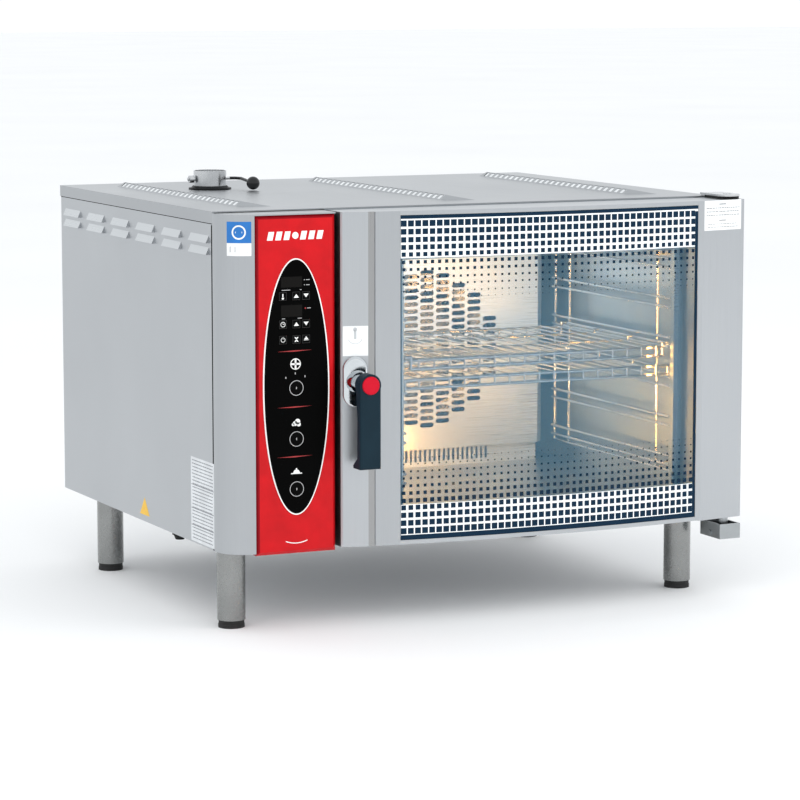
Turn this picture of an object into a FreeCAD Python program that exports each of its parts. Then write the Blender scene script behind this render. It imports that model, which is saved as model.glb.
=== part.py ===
import FreeCAD, Part
import math
import os

# A counter-top combi steamer oven: a steel cabinet on four legs, a bowed glass door hinged on the
# right, a control column on the left. Millimetres, +X to the right, +Y to the back, +Z up. The model
# is laid out about the middle of the cabinet, and at the end moved so that its own box is centred.

V = FreeCAD.Vector
X_AXIS, Y_AXIS, Z_AXIS = V(1, 0, 0), V(0, 1, 0), V(0, 0, 1)

# ---- driving dimensions: cabinet -------------------------------------------------------------
BODY_WIDTH = 1008.0
BODY_DEPTH = 862.0
BODY_HEIGHT = 600.0
LEG_HEIGHT = 146.0
SHEET = 2.0                       # outer sheet metal
SKIRT_HEIGHT = 21.0               # turned-down edge of the top cover
SKIRT_SHEET = 1.5
FRONT_MODULE_DEPTH = 60.0         # control column and door stand this far in front of the chassis
FRONT_TOP_STEP = 3.0              # the column and the door end just below the top cover

RIGHT = BODY_WIDTH / 2
LEFT = -RIGHT
FRONT = -BODY_DEPTH / 2
BACK = BODY_DEPTH / 2
BOTTOM = LEG_HEIGHT
TOP = LEG_HEIGHT + BODY_HEIGHT
CHASSIS_FRONT = FRONT + FRONT_MODULE_DEPTH
PANEL_OUT = RIGHT - SKIRT_SHEET   # outer face of the side panels, under the skirt
PANEL_IN = PANEL_OUT - SHEET
UNDER_TOP = TOP - SHEET
MODULE_TOP = TOP - FRONT_TOP_STEP

# ---- legs and feet ---------------------------------------------------------------------------
LEG_X = 457.0
LEG_Y_FRONT = -332.0
LEG_Y_REAR = 296.0
LEG_RADIUS = 25.4
LEG_WALL = 2.0
LEG_PLATE = 54.0
TUBE_END = 14.0                   # lower end of the fixed tube, where the foot comes out
FOOT_CLEARANCE = 0.4
FOOT_STEM_TOP = 90.0
FOOT_SLEEVE_WALL = 3.0
FOOT_PAD_HEIGHT = 6.0

# ---- cooking chamber -------------------------------------------------------------------------
CHAMBER_LEFT, CHAMBER_RIGHT = -148.0, 458.0
CHAMBER_FLOOR, CHAMBER_CEILING = 184.0, 664.0
CHAMBER_BACK = 262.0
LINER = 2.0
INSULATION = 36.0
CHAMBER_X = (CHAMBER_LEFT + CHAMBER_RIGHT) / 2
FLANGE_LEFT = -290.0

# ---- fan, heater and baffle ------------------------------------------------------------------
FAN_Z = 420.5
BAFFLE_Y = 140.0
BAFFLE_HALF = 247.0
BAFFLE_BOTTOM, BAFFLE_TOP = 220.0, 640.0
BAFFLE_TURN = 16.0
GRILLE_RADIUS = 154.0
GRILLE_COLUMNS = 9
GRILLE_PITCH_X, GRILLE_PITCH_Z = 34.5, 13.8
SLOT_LENGTH, SLOT_HEIGHT = 30.0, 9.0
SCREEN_SLOTS, SCREEN_PITCH = 27, 10.4
SCREEN_SLOT_WIDTH, SCREEN_SLOT_HEIGHT = 5.0, 24.0
FAN_RADIUS = 148.0
FAN_FRONT, FAN_REAR = 168.0, 232.0
FAN_BLADES = 12
SHAFT_RADIUS = 6.0
RUNNING_FIT = 0.05
MOTOR_FRONT, MOTOR_REAR = 300.0, 404.0
MOTOR_RADIUS = 58.0
HEATER_RADIUS = 174.0
HEATER_TUBE = 4.2
HEATER_RINGS = 3
HEATER_PITCH = 22.0

# ---- tray racks and wire shelves -------------------------------------------------------------
RAIL_HALF_SPAN = 275.0
UPRIGHT_HALF_SPAN = 281.0
WIRE = 3.0                        # radius of rack and rim wire
RAIL_FIRST_Z = 238.0
RAIL_PITCH = 74.5
RAIL_LEVELS = 6
RAIL_PAIR_GAP = 17.0
RACK_FRONT, RACK_REAR = -345.0, 128.0
RACK_INNER = 60.0                 # second upright stands this far inside the first
SHELF_FRONT, SHELF_REAR = -340.0, 66.0
SHELF_RIM_GAP = 15.5
SHELF_DROP = 6.5                  # a hung shelf's upper rim lies this far below its side wires
SHELF_INSET = 12.0
SHELF_LIFT = 0.3                  # play between a shelf and its rails
GRID_WIRE = 1.6
GRID_PITCH = 30.8
GRID_COUNT = 17

# ---- door ------------------------------------------------------------------------------------
DOOR_BOTTOM = BOTTOM + 2.0
DOOR_BACK = CHASSIS_FRONT - 5.0
DOOR_LEFT, DOOR_RIGHT = -288.0, 530.0
GLASS_LEFT, GLASS_RIGHT = -182.5, 422.0
GLASS_EDGE_Y = -458.0
GLASS_BOW = 19.0
GLASS_THICK = 5.0
GLASS_INSET = 7.5                 # steel lip above and below the outer glass
INNER_WINDOW = (-145.0, 413.0, 203.0, 650.0)
BACK_WINDOW = (GLASS_LEFT - 6, GLASS_RIGHT + 6, DOOR_BOTTOM + 14, MODULE_TOP - 14)
HINGE_X, HINGE_Y = 507.0, -417.0
PIN_RADIUS = 5.0

# ---- handle ----------------------------------------------------------------------------------
HANDLE_X, HANDLE_Z = -264.5, 443.7
ROSETTE_WIDTH, ROSETTE_HEIGHT = 44.0, 90.0
LEVER_FRONT = -513.0
LEVER_REAR = -488.0               # back of the hub
LEVER_RADIUS = 20.0               # hub radius; the grip is as wide as the hub
LEVER_DROP = 148.0
CAP_RADIUS = 16.0
SPINDLE_RADIUS = 9.0
STILE_FACE_SLOPE = 14.0 / 48.0    # the left stile's first face comes forward to the right

# ---- controls --------------------------------------------------------------------------------
COLUMN_LEFT, COLUMN_RIGHT = -448.0, -295.5
COLUMN_BOTTOM, COLUMN_TOP = 142.0, 740.0
COLUMN_BEVEL = 6.0
OVERLAY_X, OVERLAY_Z = -372.0, 438.0
OVERLAY_HALF_WIDTH, OVERLAY_HALF_HEIGHT = 63.0, 226.5
OVERLAY_THICK = 1.5
KEY_SIZE = 14.6
KEY_PLAY = 0.4
KEY_DEPTH = 3.0
RING_KEY_RADIUS = 13.8
KEY_COLUMNS = (-397.0, -371.5, -353.0)
KEY_ROWS = (598.8, 549.4, 522.2)
RING_KEY_ROWS = (436.6, 346.3, 257.4)

# ---- flue and damper -------------------------------------------------------------------------
FLUE_X, FLUE_Y = -281.0, 198.0
FLUE_RADIUS, FLUE_WALL = 30.75, 1.5
OUTLET_RADIUS, OUTLET_LENGTH = 31.5, 10.0
FLUE_TOP = TOP + 36.0
DAMPER_Z = TOP + 20.0
DUCT_Z = 610.0

# ---- lamps, drain and connections ------------------------------------------------------------
LAMP_Y = -300.0
LAMP_LEVELS = (300.0, 588.0)
LAMP_RADIUS = 30.0
DRAIN_X, DRAIN_Y = CHAMBER_X, -60.0
DRAIN_RADIUS = 19.0
SPIGOT_RADIUS, SPIGOT_LENGTH = 20.0, 16.0
GLAND_X, GLAND_Y = -478.0, -135.0
INLET_X, INLET_Z = 300.0, 230.0
INLET_LENGTH = 34.0


# ---- shape helpers ---------------------------------------------------------------------------
def box(x0, x1, y0, y1, z0, z1):
    return Part.makeBox(x1 - x0, y1 - y0, z1 - z0, V(x0, y0, z0))


def rod(start, end, radius):
    line = end - start
    return Part.makeCylinder(radius, line.Length, start, line)


def tube(start, end, outer, inner):
    return rod(start, end, outer).cut(rod(start, end, inner))


def ball(centre, radius):
    return Part.makeSphere(radius, centre)


def union(shapes):
    joined = shapes[0].multiFuse(shapes[1:]) if len(shapes) > 1 else shapes[0]
    return joined.removeSplitter()


def minus(shape, tools):
    return shape.cut(Part.makeCompound(tools))


def wire_path(points, radius):
    """Round wire along straight runs, with a ball at each corner."""
    runs = [rod(a, b, radius) for a, b in zip(points, points[1:])]
    return union(runs + [ball(p, radius) for p in points[1:-1]])


def polygon_xy(points, z0, z1):
    outline = [V(x, y, z0) for x, y in points]
    return Part.Face(Part.makePolygon(outline + outline[:1])).extrude(V(0, 0, z1 - z0))


def polygon_xz(points, y0, y1):
    outline = [V(x, y0, z) for x, z in points]
    return Part.Face(Part.makePolygon(outline + outline[:1])).extrude(V(0, y1 - y0, 0))


def polygon_yz(points, x0, x1):
    outline = [V(x0, y, z) for y, z in points]
    return Part.Face(Part.makePolygon(outline + outline[:1])).extrude(V(x1 - x0, 0, 0))


def slot_y(x, z, length, height, y0, y1):
    """Round-ended slot, long in X, cut along Y."""
    half = (length - height) / 2
    ends = [rod(V(x + s * half, y0, z), V(x + s * half, y1, z), height / 2) for s in (-1, 1)]
    return union(ends + [box(x - half, x + half, y0, y1, z - height / 2, z + height / 2)])


def mirrored(shape):
    """The same shape on the other side of the chamber's middle plane."""
    return shape.mirror(V(CHAMBER_X, 0, 0), X_AXIS)


def ellipse_plate(half_width, half_height, y0, y1):
    curve = Part.Ellipse(V(OVERLAY_X, y0, OVERLAY_Z + half_height),
                         V(OVERLAY_X + half_width, y0, OVERLAY_Z), V(OVERLAY_X, y0, OVERLAY_Z))
    return Part.Face(Part.Wire(curve.toShape())).extrude(V(0, y1 - y0, 0))


# ---- cabinet ---------------------------------------------------------------------------------
def leg_places():
    return [(x, y) for y in (LEG_Y_FRONT, LEG_Y_REAR) for x in (-LEG_X, LEG_X)]


def base_pan():
    flange = 24.0
    tray = box(-PANEL_IN, PANEL_IN, CHASSIS_FRONT + SHEET, BACK - SHEET, BOTTOM, BOTTOM + flange)
    hollow = box(-PANEL_IN + SHEET, PANEL_IN - SHEET, CHASSIS_FRONT + 2 * SHEET, BACK - 2 * SHEET,
                 BOTTOM + SHEET, BOTTOM + flange + 1)
    holes = [
        rod(V(DRAIN_X, DRAIN_Y, BOTTOM - 1), V(DRAIN_X, DRAIN_Y, BOTTOM + 3), DRAIN_RADIUS + 2),
        rod(V(GLAND_X, GLAND_Y, BOTTOM - 1), V(GLAND_X, GLAND_Y, BOTTOM + 3), 10),
    ]
    return minus(tray, [hollow] + holes)


def side_louvre(side, y, z):
    """A pressed hood, open underneath, and the slot behind it."""
    length, height, depth = 86.0, 13.0, 6.0
    face = side * PANEL_OUT
    tip = face + side * depth
    outline = [(face, z + height / 2), (tip, z - height / 2), (tip - side * SKIRT_SHEET, z - height / 2),
               (face, z + height / 2 - 3.4)]
    hood = polygon_xz(outline, y - length / 2, y + length / 2)
    slot = box(min(face, face - side * 3), max(face, face - side * 3), y - length / 2 + 3,
               y + length / 2 - 3, z - height / 2, z + 1)
    ends = []
    for end in (y - length / 2, y + length / 2 - SKIRT_SHEET):
        triangle = [(face, z + height / 2), (tip, z - height / 2), (face, z - height / 2)]
        ends.append(polygon_xz(triangle, end, end + SKIRT_SHEET))
    return [hood] + ends, slot


def side_panel(side):
    outer, inner = side * PANEL_OUT, side * PANEL_IN
    panel = box(min(outer, inner), max(outer, inner), CHASSIS_FRONT, BACK, BOTTOM, UNDER_TOP)
    louvre_columns, first_y, pitch = 6, -308.0, 133.8
    hoods, slots = [], []
    for column in range(louvre_columns):
        for z in (696.0, 675.5):
            hood, slot = side_louvre(side, first_y + column * pitch, z)
            hoods += hood
            slots.append(slot)
    return union([minus(panel, slots)] + hoods)


def back_panel():
    panel = box(-PANEL_IN, PANEL_IN, BACK - SHEET, BACK, BOTTOM, UNDER_TOP)
    slots = []
    for x in (-330.0, 155.0):
        for row in range(14):
            slots.append(slot_y(x, 520.0 + 12.0 * row, 150.0, 5.0, BACK - SHEET - 1, BACK + 1))
    slots.append(rod(V(INLET_X, BACK - SHEET - 1, INLET_Z), V(INLET_X, BACK + 1, INLET_Z), 13.0))
    return minus(panel, slots)


RIDGE_STARTS = (-418.0, -12.5, 370.0)
RIDGE_FRONT, RIDGE_REAR = -270.0, 345.0
RIDGE_WIDTH, RIDGE_RISE, RIDGE_CREST = 60.0, 9.0, 12.0
RIDGE_SLOT_PITCH = 22.0


def ridge_solid(x, inset, drop):
    """A long shed-roof bump with slanted ends; inset and drop shrink it to its own hollow."""
    low = TOP - drop
    y0, y1 = RIDGE_FRONT + inset, RIDGE_REAR - inset
    left, right = x + inset, x + RIDGE_WIDTH - 3 * inset
    crest = x + RIDGE_CREST
    high = TOP + RIDGE_RISE - 1.2 * inset
    slant = 26.0
    front = Part.makePolygon([V(left, y0, low), V(right, y0 - slant + inset, low),
                              V(crest, y0 + slant / 2, high), V(left, y0, low)])
    rear = Part.makePolygon([V(left, y1, low), V(right, y1 + slant - inset, low),
                             V(crest, y1 - slant / 2, high), V(left, y1, low)])
    return Part.makeLoft([front, rear], True, True)


def ridge_slots(x):
    count = int((RIDGE_REAR - RIDGE_FRONT - 30.0) / RIDGE_SLOT_PITCH)
    cuts = []
    for index in range(count + 1):
        y = RIDGE_FRONT + 18.0 + index * RIDGE_SLOT_PITCH
        cuts.append(box(x + 2.4, x + RIDGE_CREST - 0.6, y - 6.0, y + 6.0, TOP - 3.0, TOP + RIDGE_RISE))
    return cuts


def top_cover():
    plate = box(LEFT, RIGHT, CHASSIS_FRONT, BACK + SKIRT_SHEET, UNDER_TOP, TOP)
    skirt_bottom = TOP - SKIRT_HEIGHT
    skirts = [
        box(LEFT, -PANEL_OUT, CHASSIS_FRONT, BACK + SKIRT_SHEET, skirt_bottom, UNDER_TOP),
        box(PANEL_OUT, RIGHT, CHASSIS_FRONT, BACK + SKIRT_SHEET, skirt_bottom, UNDER_TOP),
        box(-PANEL_OUT, PANEL_OUT, BACK, BACK + SKIRT_SHEET, skirt_bottom, UNDER_TOP),
    ]
    ridges = [ridge_solid(x, 0.0, 0.5) for x in RIDGE_STARTS]
    hollows = [ridge_solid(x, 1.5, 3.0) for x in RIDGE_STARTS]
    slots = [cut for x in RIDGE_STARTS for cut in ridge_slots(x)]
    flue_hole = rod(V(FLUE_X, FLUE_Y, UNDER_TOP - 1), V(FLUE_X, FLUE_Y, TOP + 1), FLUE_RADIUS)
    return minus(union([plate] + skirts + ridges), hollows + slots + [flue_hole])


def corner_post():
    """The rounded post left of the control column, with the cap strip over the column's top."""
    radius = FRONT_MODULE_DEPTH - 5.0
    centre = V(LEFT + radius, FRONT + radius, 0)

    def quarter(r):
        disc = Part.makeCylinder(r, MODULE_TOP - BOTTOM, V(centre.x, centre.y, BOTTOM))
        corner = box(centre.x - r, centre.x, centre.y - r, centre.y, BOTTOM, MODULE_TOP)
        neck = box(centre.x - r, centre.x, centre.y, CHASSIS_FRONT, BOTTOM, MODULE_TOP)
        return union([disc.common(corner), neck])

    hollow = quarter(radius - SHEET).common(box(LEFT, RIGHT, FRONT, BACK, BOTTOM + SHEET, MODULE_TOP - SHEET))
    cap = box(centre.x - SHEET, COLUMN_RIGHT, FRONT, CHASSIS_FRONT, COLUMN_TOP + 0.5, MODULE_TOP)
    return union([quarter(radius).cut(hollow), cap])


# ---- control column --------------------------------------------------------------------------
def bevelled_pan(grow):
    """The red column as a block, with its four front edges bevelled; grow below 0 gives its hollow."""
    block = box(COLUMN_LEFT - grow, COLUMN_RIGHT + grow, FRONT - grow, CHASSIS_FRONT,
                COLUMN_BOTTOM - grow, COLUMN_TOP + grow)
    front_edges = [e for e in block.Edges if abs(e.BoundBox.YMin - (FRONT - grow)) < 1e-6
                   and abs(e.BoundBox.YMax - (FRONT - grow)) < 1e-6]
    return block.makeChamfer(COLUMN_BEVEL, front_edges)


def key_holes(depth_from, depth_to):
    half = KEY_SIZE / 2 + KEY_PLAY
    holes = [box(x - half, x + half, depth_from, depth_to, z - half, z + half)
             for x in KEY_COLUMNS for z in KEY_ROWS]
    for z in RING_KEY_ROWS:
        holes.append(rod(V(OVERLAY_X, depth_from, z), V(OVERLAY_X, depth_to, z), RING_KEY_RADIUS + KEY_PLAY))
    return holes


def control_panel():
    pan = bevelled_pan(0.0).cut(bevelled_pan(-SHEET))
    return minus(pan, key_holes(FRONT - 1, FRONT + SHEET + 1))


def control_overlay():
    plate = ellipse_plate(OVERLAY_HALF_WIDTH, OVERLAY_HALF_HEIGHT, FRONT - OVERLAY_THICK, FRONT)
    windows = []
    for low, high in ((613.9, 632.9), (562.0, 583.4)):
        windows.append(box(-401.0, -360.0, FRONT - OVERLAY_THICK - 1, FRONT - OVERLAY_THICK + 0.4, low, high))
    return minus(plate, key_holes(FRONT - OVERLAY_THICK - 1, FRONT + 1) + windows)


def control_board():
    back_of_panel = FRONT + SHEET
    board_y = back_of_panel + 9.0
    parts = [box(-428.0, -316.0, board_y, board_y + 1.6, 232.0, 652.0)]
    for x in (-420.0, -324.0):
        for z in (240.0, 644.0):
            parts.append(rod(V(x, back_of_panel, z), V(x, board_y, z), 3.5))
    parts.append(box(-410.0, -350.0, board_y + 1.6, board_y + 26.0, 250.0, 310.0))
    for step in range(6):
        z = 340.0 + 44.0 * step
        parts.append(box(-412.0, -386.0, board_y + 1.6, board_y + 17.0, z, z + 22.0))
        parts.append(rod(V(-348.0, board_y + 1.6, z + 11), V(-348.0, board_y + 22.0, z + 11), 9.0))
    return union(parts)


def square_key(x, z):
    front = FRONT - OVERLAY_THICK - 0.2
    return box(x - KEY_SIZE / 2, x + KEY_SIZE / 2, front, front + KEY_DEPTH, z - KEY_SIZE / 2,
               z + KEY_SIZE / 2)


def ring_key(z):
    front = FRONT - OVERLAY_THICK - 0.2
    return rod(V(OVERLAY_X, front, z), V(OVERLAY_X, front + KEY_DEPTH, z), RING_KEY_RADIUS)


# ---- chamber ---------------------------------------------------------------------------------
def chamber_block(grow, front, back):
    return box(CHAMBER_LEFT - grow, CHAMBER_RIGHT + grow, front, back, CHAMBER_FLOOR - grow,
               CHAMBER_CEILING + grow)


def lamp_holes(radius, x0, x1):
    return [rod(V(x0, LAMP_Y, z), V(x1, LAMP_Y, z), radius) for z in LAMP_LEVELS]


def heater_terminals(radius, y0, y1):
    return [rod(V(CHAMBER_X + x, y0, FAN_Z - HEATER_RADIUS * 0.96),
                V(CHAMBER_X + x, y1, FAN_Z - HEATER_RADIUS * 0.96),
                radius) for x in (-16.0, 16.0)]


def injector_place():
    return CHAMBER_X + HEATER_RADIUS + 26.0


def chamber_passages(grow):
    """Everything that goes through the chamber's walls, as tools for liner and insulation."""
    wall = LINER + INSULATION + 2
    back0, back1 = CHAMBER_BACK - 1, CHAMBER_BACK + wall
    tools = lamp_holes(LAMP_RADIUS + grow, CHAMBER_LEFT - wall, CHAMBER_LEFT + 1)
    tools.append(rod(V(CHAMBER_X, back0, FAN_Z), V(CHAMBER_X, back1, FAN_Z), SHAFT_RADIUS + 3 + grow))
    tools.append(rod(V(DRAIN_X, DRAIN_Y, CHAMBER_FLOOR - wall), V(DRAIN_X, DRAIN_Y, CHAMBER_FLOOR + 1),
                     DRAIN_RADIUS + grow))
    tools.append(rod(V(CHAMBER_LEFT - wall, FLUE_Y, DUCT_Z), V(CHAMBER_LEFT + 1, FLUE_Y, DUCT_Z),
                     FLUE_RADIUS + grow))
    tools += heater_terminals(HEATER_TUBE + grow, back0, back1)
    tools.append(rod(V(injector_place(), back0, FAN_Z), V(injector_place(), back1, FAN_Z), 4.0 + grow))
    return tools


def chamber_liner():
    outside = chamber_block(LINER, CHASSIS_FRONT, CHAMBER_BACK + LINER)
    flange = box(FLANGE_LEFT, PANEL_IN, CHASSIS_FRONT, CHASSIS_FRONT + SHEET, BOTTOM, UNDER_TOP)
    hollow = chamber_block(0.0, CHASSIS_FRONT - 1, CHAMBER_BACK)
    return minus(union([outside, flange]), [hollow] + chamber_passages(0.0))


def insulation():
    outside = chamber_block(LINER + INSULATION, CHASSIS_FRONT + SHEET + 2, CHAMBER_BACK + LINER + INSULATION)
    outside = outside.common(box(LEFT, PANEL_IN - 1, FRONT, BACK, BOTTOM + SHEET + 1, UNDER_TOP - 1))
    inside = chamber_block(LINER, CHASSIS_FRONT, CHAMBER_BACK + LINER)
    return minus(outside, [inside] + chamber_passages(1.0))


def grille_slots():
    slots = []
    middle = GRILLE_COLUMNS // 2
    for column in range(-middle, middle + 1):
        x = column * GRILLE_PITCH_X
        shift = GRILLE_PITCH_Z / 2 if column % 2 else 0.0
        reach = math.sqrt(max(GRILLE_RADIUS ** 2 - x ** 2, 0.0))
        rows = int(GRILLE_RADIUS / GRILLE_PITCH_Z) + 1
        for row in range(-rows, rows + 1):
            z = row * GRILLE_PITCH_Z + shift
            if abs(z) < reach - 2:
                slots.append(slot_y(CHAMBER_X + x, FAN_Z + z, SLOT_LENGTH, SLOT_HEIGHT, BAFFLE_Y - 1,
                                    BAFFLE_Y + 3))
    return slots


def baffle_plan(inner):
    """Plan outline of the baffle: a flat face with both sides turned back."""
    y = BAFFLE_Y + inner
    half = BAFFLE_HALF - inner * 0.4
    turn = BAFFLE_TURN - inner * 0.4
    tail = 30.0
    left, right = CHAMBER_X - half, CHAMBER_X + half
    return [(left - turn, y + turn + tail), (left - turn, y + turn), (left, y), (right, y),
            (right + turn, y + turn), (right + turn, y + turn + tail)]


def fan_baffle():
    outline = baffle_plan(0.0) + baffle_plan(SKIRT_SHEET)[::-1]
    sheet = polygon_xy(outline, BAFFLE_BOTTOM, BAFFLE_TOP)
    stays = []
    for x in (-1, 1):
        for z in (BAFFLE_BOTTOM + 40, BAFFLE_TOP - 40):
            place = CHAMBER_X + x * (BAFFLE_HALF - 14)
            stays.append(rod(V(place, BAFFLE_Y + SKIRT_SHEET / 2, z), V(place, CHAMBER_BACK, z), 5.0))
    screen_y = BAFFLE_Y + 8.0
    screen = box(CHAMBER_X - BAFFLE_HALF, CHAMBER_X + BAFFLE_HALF, screen_y, screen_y + SKIRT_SHEET,
                 CHAMBER_FLOOR, BAFFLE_BOTTOM + 4)
    ledge = box(CHAMBER_X - BAFFLE_HALF, CHAMBER_X + BAFFLE_HALF, BAFFLE_Y + SKIRT_SHEET / 2,
                screen_y + SKIRT_SHEET,
                BAFFLE_BOTTOM + 2.5, BAFFLE_BOTTOM + 4)
    slits = []
    for index in range(SCREEN_SLOTS):
        x = CHAMBER_X + (index - SCREEN_SLOTS // 2) * SCREEN_PITCH
        slits.append(box(x - SCREEN_SLOT_WIDTH / 2, x + SCREEN_SLOT_WIDTH / 2, screen_y - 1, screen_y + 3,
                         206.0 - SCREEN_SLOT_HEIGHT / 2, 206.0 + SCREEN_SLOT_HEIGHT / 2))
    return union([minus(sheet, grille_slots()), minus(screen, slits), ledge] + stays)


def fan_wheel():
    centre = V(CHAMBER_X, 0, FAN_Z)

    def disc(radius, y0, y1):
        return rod(centre + V(0, y0, 0), centre + V(0, y1, 0), radius)

    backplate = disc(FAN_RADIUS - 4, FAN_REAR - 2.5, FAN_REAR)
    opening = disc(FAN_RADIUS - 30, FAN_FRONT - 1, FAN_FRONT + 4)
    ring = disc(FAN_RADIUS, FAN_FRONT, FAN_FRONT + 2.5).cut(opening)
    hub = disc(20.0, FAN_FRONT + 18, FAN_REAR)
    nut = disc(10.0, FAN_FRONT + 8, FAN_FRONT + 20)
    shaft = disc(SHAFT_RADIUS, FAN_REAR - 5, MOTOR_FRONT + 60)
    blades = []
    for index in range(FAN_BLADES):
        blade = box(CHAMBER_X + 86, CHAMBER_X + FAN_RADIUS - 1, FAN_FRONT + 1, FAN_REAR - 1, FAN_Z - 1.25,
                    FAN_Z + 1.25)
        blade.rotate(V(CHAMBER_X + 110, 0, FAN_Z), Y_AXIS, 28)
        blade.rotate(centre, Y_AXIS, index * 360.0 / FAN_BLADES)
        blades.append(blade)
    return union([backplate, ring, hub, nut, shaft] + blades)


def fan_motor():
    centre = V(CHAMBER_X, 0, FAN_Z)

    def disc(radius, y0, y1):
        return rod(centre + V(0, y0, 0), centre + V(0, y1, 0), radius)

    case = disc(MOTOR_RADIUS, MOTOR_FRONT + 4, MOTOR_REAR - 14)
    flange = box(CHAMBER_X - 78, CHAMBER_X + 78, MOTOR_FRONT, MOTOR_FRONT + 4, FAN_Z - 78, FAN_Z + 78)
    end_bell = disc(MOTOR_RADIUS - 16, MOTOR_REAR - 14, MOTOR_REAR)
    fins = [disc(MOTOR_RADIUS + 4, MOTOR_FRONT + 16 + 9 * k, MOTOR_FRONT + 19 + 9 * k) for k in range(8)]
    junction = box(CHAMBER_X - 28, CHAMBER_X + 28, MOTOR_FRONT + 22, MOTOR_FRONT + 70, FAN_Z + 50, FAN_Z + 88)
    bore = disc(SHAFT_RADIUS + RUNNING_FIT, MOTOR_FRONT - 1, MOTOR_FRONT + 64)
    return union([case, flange, end_bell, junction] + fins).cut(bore)


def heating_element():
    centre = V(CHAMBER_X, 0, FAN_Z)
    first = FAN_FRONT - 4.0
    last = first + HEATER_PITCH * (HEATER_RINGS - 1)
    rings = [Part.makeTorus(HEATER_RADIUS, HEATER_TUBE, centre + V(0, first + HEATER_PITCH * k, 0), Y_AXIS)
             for k in range(HEATER_RINGS)]
    clips = []
    for angle in (40.0, 140.0, 220.0, 320.0):
        clip = box(CHAMBER_X + HEATER_RADIUS - 3, CHAMBER_X + HEATER_RADIUS + 3, first, last, FAN_Z - 4,
                   FAN_Z + 4)
        clip.rotate(centre, Y_AXIS, angle)
        clips.append(clip)
    return union(rings + clips + heater_terminals(HEATER_TUBE, first, CHAMBER_BACK + LINER + INSULATION + 6))


def steam_injector():
    x, y = injector_place(), BAFFLE_Y + 12.0
    route = [V(x, CHAMBER_BACK + LINER + INSULATION + 6, FAN_Z), V(x, y, FAN_Z), V(CHAMBER_X + 8, y, FAN_Z)]
    nozzle = rod(V(CHAMBER_X + 8, y, FAN_Z), V(CHAMBER_X - 8, y, FAN_Z), 6.0)
    return union([wire_path(route, 4.0), nozzle])


def chamber_drain():
    top, low = CHAMBER_FLOOR, BOTTOM - 20.0
    pipe = tube(V(DRAIN_X, DRAIN_Y, low), V(DRAIN_X, DRAIN_Y, top), DRAIN_RADIUS, DRAIN_RADIUS - 2)
    spigot = tube(V(DRAIN_X, DRAIN_Y, low), V(DRAIN_X, DRAIN_Y, low + SPIGOT_LENGTH), SPIGOT_RADIUS,
                  DRAIN_RADIUS - 2)
    strainer = rod(V(DRAIN_X, DRAIN_Y, top - 2), V(DRAIN_X, DRAIN_Y, top), DRAIN_RADIUS - 1)
    holes = []
    for ring, count in ((6.0, 6), (12.5, 12)):
        for index in range(count):
            angle = 2 * math.pi * index / count
            spot = V(DRAIN_X + ring * math.cos(angle), DRAIN_Y + ring * math.sin(angle), top - 3)
            holes.append(rod(spot, spot + V(0, 0, 4), 1.6))
    return union([pipe, spigot, minus(strainer, holes)])


# ---- racks and shelves -----------------------------------------------------------------------
def rack_side():
    """One wire rack, on the right wall."""
    upright_x = CHAMBER_X + UPRIGHT_HALF_SPAN
    rail_x = CHAMBER_X + RAIL_HALF_SPAN
    low = RAIL_FIRST_Z - 12.0
    high = RAIL_FIRST_Z + RAIL_PITCH * (RAIL_LEVELS - 1) + RAIL_PAIR_GAP + 12.0
    loop = [V(upright_x, RACK_FRONT, low), V(upright_x, RACK_FRONT, high), V(upright_x, RACK_REAR, high),
            V(upright_x, RACK_REAR, low), V(upright_x, RACK_FRONT, low)]
    wires = [rod(a, b, WIRE) for a, b in zip(loop, loop[1:])] + [ball(p, WIRE) for p in loop[:4]]
    for y in (RACK_FRONT + RACK_INNER, RACK_REAR - RACK_INNER):
        wires.append(rod(V(upright_x, y, low), V(upright_x, y, high), WIRE))
    for level in range(RAIL_LEVELS):
        for lift in (0.0, RAIL_PAIR_GAP):
            z = RAIL_FIRST_Z + RAIL_PITCH * level + lift
            wires.append(rod(V(rail_x, RACK_FRONT, z), V(rail_x, RACK_REAR, z), WIRE))
            for y in (RACK_FRONT, RACK_FRONT + RACK_INNER, RACK_REAR - RACK_INNER, RACK_REAR):
                wires.append(rod(V(rail_x, y, z), V(upright_x, y, z), WIRE * 0.9))
    for y in (RACK_FRONT + RACK_INNER, RACK_REAR - RACK_INNER):
        for z in (low + 6, high - 6):
            wires.append(rod(V(upright_x, y, z), V(CHAMBER_RIGHT, y, z), 4.0))
    return union(wires)


def tray_racks():
    right = rack_side()
    return Part.makeCompound([right, mirrored(right)])


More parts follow.
